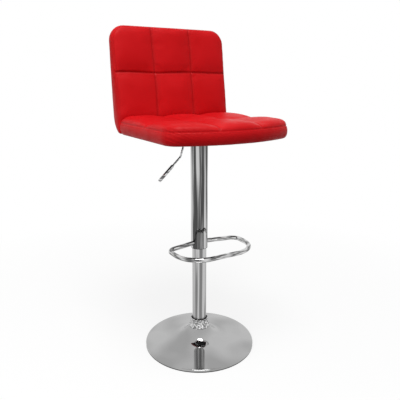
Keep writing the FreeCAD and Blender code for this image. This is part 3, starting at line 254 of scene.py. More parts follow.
red = leatherette("red_leatherette")
red_thread = leatherette("red_thread", 0.85)
# Stretches and values of the chrome's painted reflection: upright streaks on the tubes and pole, level
# streaks on the bars.
UPRIGHT = (1, 1, 0.02)
LEVEL = (0.12, 0.12, 1)
chrome_disc = chrome("chrome_disc", 0.33, 0.46, (7, 1, (1, 1, 1), 0.5, 0.12), 0.07)
chrome_tube = chrome("chrome_tube", 0.07, 0.56, (95, 3, UPRIGHT, 0.55, 0.05), ripple=(14, 0.1, 0.0012))
chrome_pole = chrome("chrome_pole", 0.2, 0.52, (75, 2, UPRIGHT, 0.48, 0.06), ripple=(14, 0.1, 0.0012))
chrome_collar = chrome("chrome_collar", 0.2, 0.7, (190, 2, (1, 1, 1), 0.5, 0.05), ripple=(210, 1, 0.004))
chrome_bar = chrome("chrome_bar", 0.14, 0.62, (260, 1, LEVEL, 0.5, 0.08))
steel = metal("bare_steel", (0.55, 0.55, 0.57), 0.32)
black_steel = painted("black_steel", (0.012, 0.012, 0.013), 0.4)
black_rubber = plastic("black_rubber", (0.012, 0.012, 0.013), 0.75)
black_plastic = plastic("black_plastic", (0.014, 0.014, 0.016), 0.45)
birch = plywood("plywood")
foam = open_foam("foam")
black_cloth = felted_cloth("black_cloth")

NODE_MATERIALS = {
    "base_disc": chrome_disc,
    "foot_collar": chrome_collar,
    "lower_pole": chrome_pole,
    "upper_tube": chrome_tube,
    "footrest_bar": chrome_bar,
    "lever_rod": chrome_bar,
    "lever_grip": chrome_bar,
    "base_rim_ring": black_rubber,
    "bump_rubber": black_rubber,
    "piston_seal": black_rubber,
    "base_underplate": black_steel,
    "pole_socket": black_steel,
    "gas_cylinder": black_steel,
    "seat_plate": black_steel,
    "lever_channel": black_steel,
    "cone_socket": black_steel,
    "pole_guide_bush": black_plastic,
    "upper_tube_guide": black_plastic,
    "rod_guide": black_plastic,
    "bearing_cage": black_plastic,
    "plywood_shell": birch,
    "seat_foam": foam,
    "back_foam": foam,
    "dust_cover": black_cloth,
    "seat_cover": red,
    "back_cover": red,
    "back_panel": red,
}


def dress_nodes():
    """Give every carried-over node its material; all others are bare steel."""
    for name, node in nodes.items():
        node.data.materials.clear()
        node.data.materials.append(NODE_MATERIALS.get(name, steel))
        node.data.shade_smooth()


# Pads: lofted between open outlines, blown up by a cloth simulation, then sewn

BOW_STEPS = 22
CORNER_STEPS = 9
SIDE_STEPS = 26
VOXEL = 5 * MM
PUFF_LIMIT = 5 * MM
SOFTENING = 8
SEWN_HALF = 2.6 * MM
SEAM_EDGE_HALF = 2.4 * MM

# Insets of the rings over a quilted face, in millimetres, from its middle to its edge
FACE_INSETS = (205, 180, 150, 120, 95, 75, 58, 44, 34, 26, 19, 13, 9, 6, 4)


def u_path(half, corner, tip, bow, inset, foot):
    """Outline open at its foot: (across, along) points from the left foot round the tip."""
    side = half - inset
    radius = max(corner - inset, 4 * MM)
    bow_radius = bow - inset
    centre = tip - bow
    corner_x = side - radius
    corner_y = centre + math.sqrt((bow_radius - radius) ** 2 - corner_x ** 2)
    turn = math.atan2(corner_y - centre, corner_x)
    points = []
    for step in range(BOW_STEPS + 1):
        angle = math.pi / 2 + (turn - math.pi / 2) * step / BOW_STEPS
        points.append((bow_radius * math.cos(angle), centre + bow_radius * math.sin(angle)))
    for step in range(1, CORNER_STEPS + 1):
        angle = turn * (1 - step / CORNER_STEPS)
        points.append((corner_x + radius * math.cos(angle), corner_y + radius * math.sin(angle)))
    for step in range(1, SIDE_STEPS + 1):
        share = math.sin(math.pi / 2 * step / SIDE_STEPS)
        points.append((side, corner_y + (foot - corner_y) * share))
    left = [(-across, along) for across, along in reversed(points[1:])]
    return np.array(left + points)


def loft(name, rings):
    """Closed mesh through open rings; the first and last rings and the foot are closed."""
    count = len(rings[0])
    middle = count // 2
    faces = []
    for level in range(len(rings) - 1):
        for step in range(count - 1):
            first = level * count + step
            faces.append((first, first + 1, first + 1 + count, first + count))
    for level in (0, len(rings) - 1):
        for step in range(middle):
            left = level * count + step
            right = level * count + count - 1 - step
            if left + 1 == right - 1:
                faces.append((left, left + 1, right))
            else:
                faces.append((left, left + 1, right - 1, right))
    left_foot = [level * count for level in range(len(rings))]
    right_foot = [level * count + count - 1 for level in range(len(rings))]
    faces.append(tuple(left_foot + right_foot[::-1]))
    mesh = bpy.data.meshes.new(name)
    mesh.from_pydata([tuple(point) for point in np.concatenate(rings)], [], faces)
    shaper = bmesh.new()
    shaper.from_mesh(mesh)
    bmesh.ops.triangulate(shaper, faces=[face for face in shaper.faces if len(face.verts) > 4])
    bmesh.ops.recalc_face_normals(shaper, faces=shaper.faces)
    shaper.to_mesh(mesh)
    shaper.free()
    piece = bpy.data.objects.new(name, mesh)
    bpy.context.scene.collection.objects.link(piece)
    return piece


def bake(piece):
    """Apply the piece's modifiers by taking its evaluated mesh."""
    graph = bpy.context.evaluated_depsgraph_get()
    baked = bpy.data.meshes.new_from_object(piece.evaluated_get(graph))
    piece.modifiers.clear()
    piece.data = baked
    return piece


def points_of(piece):
    """Vertex places as an array."""
    flat = np.empty(len(piece.data.vertices) * 3)
    piece.data.vertices.foreach_get("co", flat)
    return flat.reshape(-1, 3)


def normals_of(piece):
    """Vertex normals as an array."""
    return np.array([vertex.normal for vertex in piece.data.vertices])


def set_points(piece, points):
    """Write vertex places back."""
    piece.data.vertices.foreach_set("co", points.ravel())
    piece.data.update()


def remesh(piece):
    """Even mesh, smoothed a little."""
    modifier = piece.modifiers.new("remesh", "REMESH")
    modifier.mode = "VOXEL"
    modifier.voxel_size = VOXEL
    bake(piece)
    shaper = bmesh.new()
    shaper.from_mesh(piece.data)
    for _ in range(2):
        bmesh.ops.smooth_vert(
            shaper, verts=shaper.verts, factor=0.5, use_axis_x=True, use_axis_y=True,
            use_axis_z=True)
    shaper.to_mesh(piece.data)
    shaper.free()


def even_out(piece, field, passes):
    """Average a field over neighbouring vertices, a few times."""
    mesh = piece.data
    edges = np.empty(len(mesh.edges) * 2, dtype=int)
    mesh.edges.foreach_get("vertices", edges)
    one, other = edges.reshape(-1, 2).T
    count = np.bincount(edges, minlength=len(mesh.vertices))[:, None]
    for _ in range(passes):
        total = np.zeros_like(field)
        np.add.at(total, one, field[other])
        np.add.at(total, other, field[one])
        field = (field + total / count) / 2
    return field


def blow_up(piece, pinned, pressure=3.5, slack=0.006, frames=16):
    """Swell the free vertices with a cloth simulation, by no more than the puff limit."""
    before = points_of(piece)
    group = piece.vertex_groups.new(name="pin")
    group.add([int(index) for index in np.nonzero(pinned)[0]], 1.0, "REPLACE")
    cloth = piece.modifiers.new("cloth", "CLOTH")
    settings = cloth.settings
    settings.quality = 5
    settings.mass = 0.3
    settings.tension_stiffness = 15
    settings.compression_stiffness = 15
    settings.shear_stiffness = 8
    settings.bending_stiffness = 1.2
    settings.air_damping = 1.5
    settings.use_pressure = True
    settings.uniform_pressure_force = pressure
    settings.shrink_min = -slack
    settings.vertex_group_mass = "pin"
    settings.effector_weights.gravity = 0
    cloth.collision_settings.use_self_collision = False
    cloth.point_cache.frame_start = 1
    cloth.point_cache.frame_end = frames
    scene = bpy.context.scene
    for frame_number in range(1, frames + 1):
        scene.frame_set(frame_number)
    bake(piece)
    after = points_of(piece)
    scene.frame_set(1)
    shift = after - before
    size = np.linalg.norm(shift, axis=1, keepdims=True)
    shift *= np.minimum(1, PUFF_LIMIT / np.maximum(size, 1e-9))
    shift = even_out(piece, shift, SOFTENING)
    set_points(piece, before + shift)
    piece.vertex_groups.clear()


def subdivide(piece):
    """One smooth subdivision."""
    modifier = piece.modifiers.new("smooth", "SUBSURF")
    modifier.levels = 1
    modifier.render_levels = 1
    bake(piece)


def finish_pad(piece, material, fill, *replaced):
    """Material, smooth shading and body of an upholstered piece."""
    piece.data.materials.clear()
    piece.data.materials.append(material)
    piece.data.shade_smooth()
    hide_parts(*replaced)
    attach(piece, "seat")


def rounded(share, power):
    """Full height in the middle of a cell, nothing at its seams; share runs from -1 to 1."""
    return 1 - np.minimum(np.abs(share), 1) ** power


def shoulder(distance, run):
    """Quarter round from an edge: 0 at the edge, 1 at the run and beyond."""
    share = np.clip(distance / run, 0, 1)
    return np.sqrt(1 - (1 - share) ** 2)


def across_cells(across):
    """Height share over the three cells across; the outer halves stay full."""
    middle = rounded(across / (CELL / 2), 2.3)
    outer = rounded(np.maximum(CELL - np.abs(across), 0) / (CELL / 2), 2.3)
    return np.where(np.abs(across) < CELL / 2, middle, outer)


def wander(along, seed, wave):
    """Uneven waves along a seam, about -1 to 1."""
    total = np.zeros_like(along)
    for index in range(4):
        phase = math.sin(seed * 12.9 + index * 7.3) * 3
        total += np.sin(along / wave * (1 + 0.37 * index) * 2 * math.pi + phase) / (1 + 0.5 * index)
    return total / 2.1


def groove(distance, depth, width):
    """Depth of a sewn channel at a distance from its line; the same curve also sets the amount of
    painted seam shade.
    """
    return depth * np.exp(-(distance / width) ** 2)


def shade_seams(piece, shade):
    """Keep how deep each vertex lies in a seam as painted shade, for the leatherette to darken its
    colour there.
    """
    layer = piece.data.attributes.new("seam_shade", "FLOAT", "POINT")
    layer.data.foreach_set("value", np.clip(shade, 0, 1).astype(np.float32))


def puckers(distance, along, seed, height, reach, wave=16 * MM):
    """Small folds that run away from a seam and fade out."""
    return height * wander(along, seed, wave) * np.exp(-np.abs(distance) / reach)


# Seat cushion: height of its seams, rise of its rows, and rise of a cell at and inside its row

SEAM_TOP = 790.5 * MM
ROW_RISE = 6.5 * MM
EDGE_CELL_RISE = 2.0 * MM
CELL_RISE = 5.5 * MM
CREASE_TOP = 787 * MM
CREASE_RUN = 20 * MM


def seat_rear(height):
    """Where the seat meets the backrest's front, at a height."""
    return BACK_FOOT + (height - SEAT_BOTTOM) * math.tan(BACK_LEAN) - CREASE_GAP


def seat_inset(across, along):
    """Distance inside the seat's plan outline; the open rear doesn't count."""
    bow_centre = -SEAT_FRONT + SEAT_BOW
    to_front = SEAT_BOW - np.hypot(across, along - bow_centre)
    to_side = HALF_WIDTH - np.abs(across)
    corner_x = HALF_WIDTH - SEAT_CORNER
    reach = SEAT_BOW - SEAT_CORNER
    corner_y = bow_centre - math.sqrt(reach ** 2 - corner_x ** 2)
    from_corner = SEAT_CORNER - np.hypot(np.abs(across) - corner_x, along - corner_y)
    in_corner = (np.abs(across) > corner_x) & (along < corner_y)
    return np.where(in_corner, from_corner, np.minimum(to_front, to_side))


def seat_top(across, along, inset):
    """Height of the quilted top."""
    front = -SEAT_FRONT + across ** 2 / (2 * SEAT_BOW)
    front_row = (along - front) / (SEAT_ROW_SEAM - front) * 2 - 1
    rear = seat_rear(SEAT_EDGE)
    rear_row = (along - SEAT_ROW_SEAM) / (rear - SEAT_ROW_SEAM) * 2 - 1
    rows = np.where(
        along < SEAT_ROW_SEAM,
        rounded(np.maximum(front_row, 0), 2.6), rounded(np.minimum(rear_row, 0), 2.6))
    cells = across_cells(across)
    height = SEAM_TOP + ROW_RISE * rows + (EDGE_CELL_RISE + CELL_RISE * rows) * cells
    height = SEAT_EDGE + (height - SEAT_EDGE) * shoulder(inset, SEAT_RUN)
    return CREASE_TOP + (height - CREASE_TOP) * shoulder(rear - along, CREASE_RUN)


def seat_ring(inset, height):
    """Ring of the seat at an inset, at a fixed height or on the quilted top."""
    path = u_path(HALF_WIDTH, SEAT_CORNER, SEAT_FRONT, SEAT_BOW, inset, -seat_rear(SEAT_EDGE))
    across = path[:, 0]
    along = -path[:, 1]
    if height is None:
        heights = seat_top(across, along, inset)
        heights = np.maximum(heights, SEAT_EDGE)
    else:
        heights = np.full(len(path), height)
    foot_y = -path[0, 1]
    share = np.clip((along - SEAT_ROW_SEAM) / (foot_y - SEAT_ROW_SEAM), 0, 1)
    along = along + share * (seat_rear(heights) - foot_y)
    return np.column_stack([across, along, heights])


def make_seat_cushion():
    """The seat's padded cover: quilted top, puffed bands, open underneath for the board."""
    rings = []
    for inset in FACE_INSETS:
        rings.append(seat_ring(inset * MM, None))
    bands = [
        (2.5, 783), (0.8, 781), (-0.8, 777), (-1.8, 771), (-2.0, 764), (-1.2, 757), (0.6, 751),
        (3.2, 747.4), (6.5, 745), (9.5, 744), (14.3, 744), (14.3, 751), (14.3, 762), (14.3, 774),
        (14.3, 785.3), (40, 785.3), (90, 785.3), (150, 785.3), (205, 785.3),
    ]
    for inset, height in bands:
        rings.append(seat_ring(inset * MM, height * MM))
    piece = loft("seat_cushion", rings)
    remesh(piece)
    points = points_of(piece)
    across, along, height = points.T
    inset = seat_inset(across, along)
    inner = (inset > 10 * MM) & (height < 788 * MM)
    low = height < 746.5 * MM
    rear = along > seat_rear(height) - 4 * MM
    sewn = (np.abs(np.abs(across) - CELL / 2) < SEWN_HALF) & (height > 780 * MM)
    sewn |= (np.abs(along - SEAT_ROW_SEAM) < SEWN_HALF) & (height > 780 * MM)
    edge = (np.abs(height - SEAT_EDGE) < SEAM_EDGE_HALF) & (inset < 7 * MM)
    blow_up(piece, inner | low | rear | sewn | edge)
    subdivide(piece)
    sew_seat(piece)
    finish_pad(piece, red, 0.8, "seat_cover")
    return piece


def sew_seat(piece):
    """Press the seams and their puckers into the seat, and keep painted shade along the two seams that
    run front to back.
    """
    points = points_of(piece)
    normals = normals_of(piece)
    across, along, height = points.T
    inset = seat_inset(across, along)
    top = np.clip((height - 784 * MM) / (4 * MM), 0, 1) * np.clip(normals[:, 2] * 3, 0, 1)
    depth = np.zeros(len(points))
    shade = np.zeros(len(points))
    for line in (-CELL / 2, CELL / 2):
        bend = 1.2 * MM * np.sin(along * 23 + line * 40)
        distance = across - line - bend
        depth -= top * groove(distance, 2.6 * MM, 3.0 * MM)
        # Painted shade along this seam, for the leatherette's colour.
        shade = np.maximum(shade, top * groove(distance, 0.35, 2.6 * MM))
        depth += top * puckers(distance, along, line * 31, 0.14 * MM, 11 * MM, 26 * MM)
    distance = along - SEAT_ROW_SEAM - 1.5 * MM * np.sin(across * 31)
    depth -= top * groove(distance, 2.6 * MM, 3.0 * MM)
    depth += top * puckers(distance, across, 2.7, 0.14 * MM, 11 * MM, 26 * MM)
    outside = (inset < 9 * MM) & (height > 748 * MM)
    edge = height - SEAT_EDGE
    around = across - along
    depth -= outside * groove(edge, 1.3 * MM, 1.9 * MM)
    depth += outside * puckers(edge, around, 5.1, 0.16 * MM, 9 * MM, 30 * MM)
    corner = np.exp(-((across + 190 * MM) ** 2 + (along + 190 * MM) ** 2) / (45 * MM) ** 2)
    depth += outside * corner * 0.7 * MM * wander(height * 2.2 + across, 3.3, 22 * MM)
    crease = np.exp(-np.abs(seat_rear(SEAT_EDGE) - along) / (22 * MM))
    depth += top * crease * 0.9 * MM * wander(across, 8.8, 60 * MM)
    shade_seams(piece, shade)
    set_points(piece, points + normals * depth[:, None])


# Backrest cushion, in the frame of its front: across, up along the lean, forward

BACK_ORIGIN = np.array([0, BACK_FOOT, SEAT_BOTTOM])
BACK_UP = np.array([0, math.sin(BACK_LEAN), math.cos(BACK_LEAN)])
BACK_FORWARD = np.array([0, -math.cos(BACK_LEAN), math.sin(BACK_LEAN)])
REAR_UP = np.array([0, math.sin(REAR_LEAN), math.cos(REAR_LEAN)])
REAR_OUT = np.array([0, math.cos(REAR_LEAN), -math.sin(REAR_LEAN)])
REAR_TOP = BACK_ORIGIN + BACK_UP * BACK_LENGTH - BACK_FORWARD * BACK_TOP_DEPTH

# Its quilt: where the lower row starts, how far rows and cells stand out, and where the seat hides it
LOW_ROW_FOOT = 58 * MM
BACK_ROW_RISE = 1.8 * MM
BACK_EDGE_CELL_RISE = 0.4 * MM
BACK_CELL_RISE = 6.4 * MM
BACK_RUN = 24 * MM
HIDDEN_FOOT = 40 * MM
HIDDEN_RUN = 22 * MM
HIDDEN_DEPTH = 0.4 * MM


def heel_circle():
    """Centre of the rounded heel, and the rear face's point where it starts."""
    drop = REAR_TOP[2] - SEAT_BOTTOM - HEEL_ROUND - HEEL_ROUND * REAR_OUT[2]
    tangent = REAR_TOP - REAR_UP * drop / REAR_UP[2]
    return tangent - REAR_OUT * HEEL_ROUND, tangent


def depth_at(up):
    """Thickness of the backrest behind its front plane, at a place along the lean."""
    start = BACK_ORIGIN + np.outer(up, BACK_UP)
    onward = -BACK_FORWARD
    to_plane = (REAR_TOP - start) @ REAR_OUT / (onward @ REAR_OUT)
    centre, tangent = heel_circle()
    offset = start - centre
    along = offset[:, 1] * onward[1] + offset[:, 2] * onward[2]
    beyond = offset[:, 1] ** 2 + offset[:, 2] ** 2 - HEEL_ROUND ** 2
    to_arc = -along + np.sqrt(np.maximum(along ** 2 - beyond, 0))
    hit = start + to_arc[:, None] * onward
    return np.where(hit[:, 2] < tangent[2], np.minimum(to_arc, to_plane), to_plane)


def back_points(across, up, forward):
    """Places from backrest coordinates."""
    places = BACK_ORIGIN + np.outer(up, BACK_UP) + np.outer(forward, BACK_FORWARD)
    places[:, 0] = across
    return places


def back_coordinates(points):
    """Backrest coordinates of places: across, up along the lean, and forward."""
    offset = points - BACK_ORIGIN
    return points[:, 0], offset @ BACK_UP, offset @ BACK_FORWARD


def back_inset(across, up):
    """Distance inside the backrest's outline; the open foot doesn't count."""
    to_side = HALF_WIDTH - np.abs(across)
    to_top = BACK_LENGTH - up
    corner_x = HALF_WIDTH - BACK_CORNER
    corner_y = BACK_LENGTH - BACK_CORNER
    from_corner = BACK_CORNER - np.hypot(np.abs(across) - corner_x, up - corner_y)
    in_corner = (np.abs(across) > corner_x) & (up > corner_y)
    return np.where(in_corner, from_corner, np.minimum(to_side, to_top))


def back_front(across, up, inset):
    """How far the quilted front stands ahead of the seams' plane."""
    top_row = (up - BACK_ROW_SEAM) / (BACK_LENGTH - BACK_ROW_SEAM) * 2 - 1
    low_row = (up - LOW_ROW_FOOT) / (BACK_ROW_SEAM - LOW_ROW_FOOT) * 2 - 1
    rows = np.where(
        up > BACK_ROW_SEAM,
        rounded(np.minimum(top_row, 0), 2.8), rounded(np.maximum(low_row, -0.55), 2.8))
    cells = across_cells(across)
    forward = BACK_ROW_RISE * rows + (BACK_EDGE_CELL_RISE + BACK_CELL_RISE * rows) * cells
    open_share = np.clip((up - HIDDEN_FOOT) / HIDDEN_RUN, 0, 1)
    return forward * shoulder(inset, BACK_RUN) * open_share - (1 - open_share) * HIDDEN_DEPTH


def back_ring(inset, level, share):
    """Ring of the backrest: on its front, on its side band, or on its cavity."""
    path = u_path(HALF_WIDTH, BACK_CORNER, BACK_LENGTH, STRAIGHT, inset, 3 * MM)
    across, up = path.T
    depth = depth_at(up)
    if level == "front":
        forward = back_front(across, up, inset)
    elif level == "band":
        forward = -depth * share
    else:
        forward = -np.minimum(QUILT + np.maximum(depth - QUILT, 0) * share, depth)
    return back_points(across, up, forward)


def make_back_cushion():
    """The backrest's padded cover: quilted front and side bands round an open rear."""
    rings = []
    for inset in FACE_INSETS:
        rings.append(back_ring(inset * MM, "front", 0))
    bands = [
        (2.5, 0.0), (0.6, 0.06), (-1.0, 0.2), (-1.6, 0.4), (-1.4, 0.6), (-0.2, 0.8), (2.4, 0.93),
        (7.0, 1.0),
    ]
    for inset, share in bands:
        rings.append(back_ring(inset * MM, "band", share))
    for inset, share in ((14.3, 1.0), (14.3, 0.66), (14.3, 0.33), (14.3, 0.0)):
        rings.append(back_ring(inset * MM, "cavity", share))
    for inset in (40, 90, 150, 205):
        rings.append(back_ring(inset * MM, "cavity", 0))
    piece = loft("back_cushion", rings)
    remesh(piece)
    across, up, forward = back_coordinates(points_of(piece))
    inset = back_inset(across, up)
    inner = (inset > 9 * MM) & (forward < -4 * MM)
    low = up < 48 * MM
    sewn = (np.abs(np.abs(across) - CELL / 2) < SEWN_HALF) & (forward > -4 * MM)
    sewn |= (np.abs(up - BACK_ROW_SEAM) < SEWN_HALF) & (forward > -4 * MM)
    edge = (np.abs(forward) < SEAM_EDGE_HALF) & (inset < 7 * MM)
    blow_up(piece, inner | low | sewn | edge)
    subdivide(piece)
    sew_back(piece)
    finish_pad(piece, red, 0.7, "back_cover")
    return piece


def sew_back(piece):
    """Press the seams and their puckers into the backrest, and keep painted shade along its quilt seams.
    """
    points = points_of(piece)
    normals = normals_of(piece)
    across, up, forward = back_coordinates(points)
    inset = back_inset(across, up)
    facing = np.clip(normals @ BACK_FORWARD * 3, 0, 1) * np.clip((forward + 3 * MM) / (2 * MM), 0, 1)
    depth = np.zeros(len(points))
    shade = np.zeros(len(points))
    for line in (-CELL / 2, CELL / 2):
        bend = 1.3 * MM * np.sin(up * 21 + line * 33)
        distance = across - line - bend
        depth -= facing * groove(distance, 2.6 * MM, 3.0 * MM)
        # Painted shade along this seam, for the leatherette's colour.
        shade = np.maximum(shade, facing * groove(distance, 0.3, 5.0 * MM))
        depth += facing * puckers(distance, up, line * 17, 0.15 * MM, 12 * MM, 28 * MM)
    distance = up - BACK_ROW_SEAM - 1.4 * MM * np.sin(across * 27)
    depth -= facing * groove(distance, 3.2 * MM, 3.2 * MM)
    # Painted shade along the row seam, for the leatherette's colour.
    shade = np.maximum(shade, facing * groove(distance, 0.4, 4.5 * MM))
    depth += facing * puckers(distance, across, 1.9, 0.22 * MM, 12 * MM, 26 * MM)
    outside = (inset < 9 * MM) & (forward > -6 * MM)
    around = across + up
    depth -= outside * groove(forward, 1.2 * MM, 1.8 * MM)
    depth += outside * puckers(forward, around, 4.4, 0.12 * MM, 9 * MM, 30 * MM)
    shade_seams(piece, shade)
    set_points(piece, points + normals * depth[:, None])


# Rear panel

def rear_place(distance, lift):
    """Place on the rear profile at an arc length from the heel's lowest line, lifted outward."""
    centre, _ = heel_circle()
    turn = distance / HEEL_ROUND
    full_turn = math.pi / 2 - REAR_LEAN
    angle = np.minimum(turn, full_turn)
    outward = np.column_stack([np.zeros_like(angle), np.sin(angle), -np.cos(angle)])
    beyond = np.maximum(distance - full_turn * HEEL_ROUND, 0)
    return centre + outward * (HEEL_ROUND + lift)[:, None] + np.outer(beyond, REAR_UP)


def make_rear_panel():
    """The leatherette panel that closes the rear, from under the heel to the upper edge."""
    _, tangent = heel_circle()
    full_turn = math.pi / 2 - REAR_LEAN
    rear_length = np.linalg.norm(REAR_TOP - tangent)
    tip = full_turn * HEEL_ROUND + rear_length - BAND
    half = HALF_WIDTH - BAND - 0.2 * MM
    corner = BACK_CORNER - BAND
    rings = []
    for inset in (195, 165, 130, 95, 65, 42, 28, 18, 11, 6.5, 3.5, 1.6, 0.5, 0):
        path = u_path(half, corner, tip, STRAIGHT, inset * MM, 1 * MM)
        swell = 0.9 * MM * np.sin(path[:, 1] * 14) * math.sin(min(inset / 60, 1) * math.pi / 2)
        lift = np.full(len(path), (2.6 * shoulder(inset, 14) - 1.4) * MM) + swell * 0.5
        place = rear_place(path[:, 1], lift)
        place[:, 0] = path[:, 0]
        rings.append(place)
    for inset, lift in ((0, -2.9), (60, -2.9), (130, -2.9), (195, -2.9)):
        path = u_path(half, corner, tip, STRAIGHT, inset * MM, 1 * MM)
        place = rear_place(path[:, 1], np.full(len(path), lift * MM))
        place[:, 0] = path[:, 0]
        rings.append(place)
    piece = loft("rear_panel", rings)
    subdivide(piece)
    finish_pad(piece, red, 0.4, "back_panel")
    return piece


# Cloth under the seat

def make_dust_cloth():
    """Thin black cloth stretched under the board."""
    heel_centre, _ = heel_circle()
    rings = []
    insets = (190, 160, 130, 100, 75, 55, 38, 24, 12, 4, 0)
    for side in (1, -1):
        for inset in insets if side == 1 else reversed(insets):
            path = u_path(
                HALF_WIDTH - BAND - 0.3 * MM, SEAT_CORNER - BAND, SEAT_FRONT - BAND - 0.3 * MM,
                SEAT_BOW - BAND, inset * MM, -heel_centre[1] + 1 * MM)
            across = path[:, 0]
            along = -path[:, 1]
            ripple = 0.18 * MM * wander(across + 0.3 * along, 6.1, 60 * MM)
            height = 746.7 * MM + ripple - side * 0.25 * MM
            rings.append(np.column_stack([across, along, height]))
    piece = loft("dust_cloth", rings)
    piece.data.materials.append(black_cloth)
    piece.data.shade_smooth()
    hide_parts("dust_cover")
    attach(piece, "seat")
    return piece


# Thread

def add_stitch(shaper, start, end, outward, thickness):
    """One raised stitch: a tapered six-sided bead from start to end."""
    along = end - start
    length = along.length
    along.normalize()
    side = along.cross(outward).normalized()
    rise = side.cross(along)
    loops = []
    for place, share in ((0.0, 0.25), (0.2, 0.9), (0.5, 1.0), (0.8, 0.9), (1.0, 0.25)):
        centre = start + along * (length * place) + outward * (thickness * (0.9 * share - 0.35))
        loop = []
        for corner in range(6):
            angle = corner * math.pi / 3
            offset = side * math.cos(angle) + rise * math.sin(angle)
            loop.append(shaper.verts.new(centre + offset * thickness * share))
        loops.append(loop)
    for first, second in zip(loops, loops[1:]):
        for corner in range(6):
            after = (corner + 1) % 6
            shaper.faces.new((first[corner], first[after], second[after], second[corner]))
    shaper.faces.new(loops[0][::-1])
    shaper.faces.new(loops[-1])


def lay_stitches(shaper, tree, line, pitch=4.6 * MM, thickness=0.42 * MM):
    """Stitches along a line of guide points, laid on the surface below them."""
    travelled = 0.0
    places = []
    for first, second in zip(line, line[1:]):
        gap = (second - first).length
        while travelled < gap:
            point = first.lerp(second, travelled / gap)
            found, normal, _, distance = tree.find_nearest(point)
            if found is not None and distance < 8 * MM:
                places.append((found, normal))
            travelled += pitch
        travelled -= gap
    for (first, first_normal), (second, second_normal) in zip(places, places[1:]):
        if (second - first).length > 1.8 * pitch:
            continue
        outward = (first_normal + second_normal).normalized()
        add_stitch(shaper, first.lerp(second, 0.12), first.lerp(second, 0.88), outward, thickness)


def make_stitches(name, piece, lines):
    """One object with all the stitches on a pad."""
    graph = bpy.context.evaluated_depsgraph_get()
    tree = BVHTree.FromObject(piece, graph)
    shaper = bmesh.new()
    for line in lines:
        lay_stitches(shaper, tree, line)
    mesh = bpy.data.meshes.new(name)
    bmesh.ops.recalc_face_normals(shaper, faces=shaper.faces)
    shaper.to_mesh(mesh)
    shaper.free()
    mesh.materials.append(red_thread)
    mesh.shade_smooth()
    stitches = bpy.data.objects.new(name, mesh)
    bpy.context.scene.collection.objects.link(stitches)
    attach(stitches, "seat")


def seat_edge_line(inset, height):
    """Guide points along the seat's top seam."""
    ring = seat_ring(inset * MM, height * MM)
    return [Vector(point) for point in ring]


def back_edge_line(inset, forward):
    """Guide points along the backrest's front seam, above the seat."""
    path = u_path(HALF_WIDTH, BACK_CORNER, BACK_LENGTH, STRAIGHT, inset * MM, 60 * MM)
    points = back_points(path[:, 0], path[:, 1], np.full(len(path), forward * MM))
    return [Vector(point) for point in points]


def make_upholstery():
    """All soft pieces."""
    seat_cushion = make_seat_cushion()
    back_cushion = make_back_cushion()
    make_rear_panel()
    make_dust_cloth()
    make_stitches("seat_stitches", seat_cushion, [
        seat_edge_line(1.0, 779.5), seat_edge_line(5.0, 787.0)])
    make_stitches("back_stitches", back_cushion, [
        back_edge_line(0.0, -3.4), back_edge_line(6.0, 3.2)])


# Studio: camera, floor, lamps and surroundings

CAMERA_TURN = math.radians(30.5)
CAMERA_PITCH = math.radians(14.38)
CAMERA_DISTANCE = 1.489
CAMERA_HEIGHT = 0.917
PICTURE_SIZE = 400
FOCAL_PIXELS = 457.6
CENTRE_PIXEL = (199.3, 198.2)
LAMP_TARGET = (0, 0, 0.8)

# Name, place, width in metres, power in watts, whether metal mirrors it
LAMPS = [
    ("key", (-0.3, -0.75, 3.0), 1.0, 41, True),
    ("front", (-1.3, -2.2, 1.9), 1.4, 11, False),
    ("left", (-2.2, -0.1, 1.5), 1.4, 14, False),
]

# Ambient light by height, from level with the floor (0) to straight above (1)
AMBIENT = [(0.0, 0.2), (0.1, 0.24), (0.6, 0.5), (1.0, 0.5)]
FLOOR_REACH = 14
FLOOR_DROP = 0.0004
FADE_START = 0.4
FADE_END = 1.6
FADE_AT_STOOL = 0.8


def make_camera():
    """The photograph's viewpoint, fitted to the foot, the column and the backrest."""
    data = bpy.data.cameras.new("camera")
    camera = bpy.data.objects.new("camera", data)
    bpy.context.scene.collection.objects.link(camera)
    data.lens = FOCAL_PIXELS * data.sensor_width / PICTURE_SIZE
    data.shift_x = (PICTURE_SIZE / 2 - CENTRE_PIXEL[0]) / PICTURE_SIZE
    data.shift_y = (CENTRE_PIXEL[1] - PICTURE_SIZE / 2) / PICTURE_SIZE
    ahead = Vector((math.sin(CAMERA_TURN), math.cos(CAMERA_TURN), 0))
    camera.location = -ahead * CAMERA_DISTANCE + Vector((0, 0, CAMERA_HEIGHT))
    look = ahead * math.cos(CAMERA_PITCH) - Vector((0, 0, math.sin(CAMERA_PITCH)))
    camera.rotation_euler = look.to_track_quat("-Z", "Y").to_euler()
    bpy.context.scene.camera = camera


def add_lamp(name, place, width, power, mirrored):
    """A square area lamp that points at the stool."""
    data = bpy.data.lights.new(name, "AREA")
    data.shape = "SQUARE"
    data.size = width
    data.energy = power
    lamp = bpy.data.objects.new(name, data)
    bpy.context.scene.collection.objects.link(lamp)
    lamp.location = place
    lamp.rotation_euler = (Vector(LAMP_TARGET) - Vector(place)).to_track_quat("-Z", "Y").to_euler()
    lamp.visible_glossy = mirrored


def ramp_of(tree, value, stops):
    """A colour ramp of greys: (place, brightness) stops."""
    ramp = add_node(tree, "ShaderNodeValToRGB")
    ramp.color_ramp.interpolation = "LINEAR"
    elements = ramp.color_ramp.elements
    while len(elements) > 1:
        elements.remove(elements[-1])
    elements[0].position = stops[0][0]
    elements[0].color = (*[stops[0][1]] * 3, 1)
    for place, brightness in stops[1:]:
        element = elements.new(place)
        element.color = (*[brightness] * 3, 1)
    tree.links.new(value, ramp.inputs["Fac"])
    return ramp.outputs["Color"]


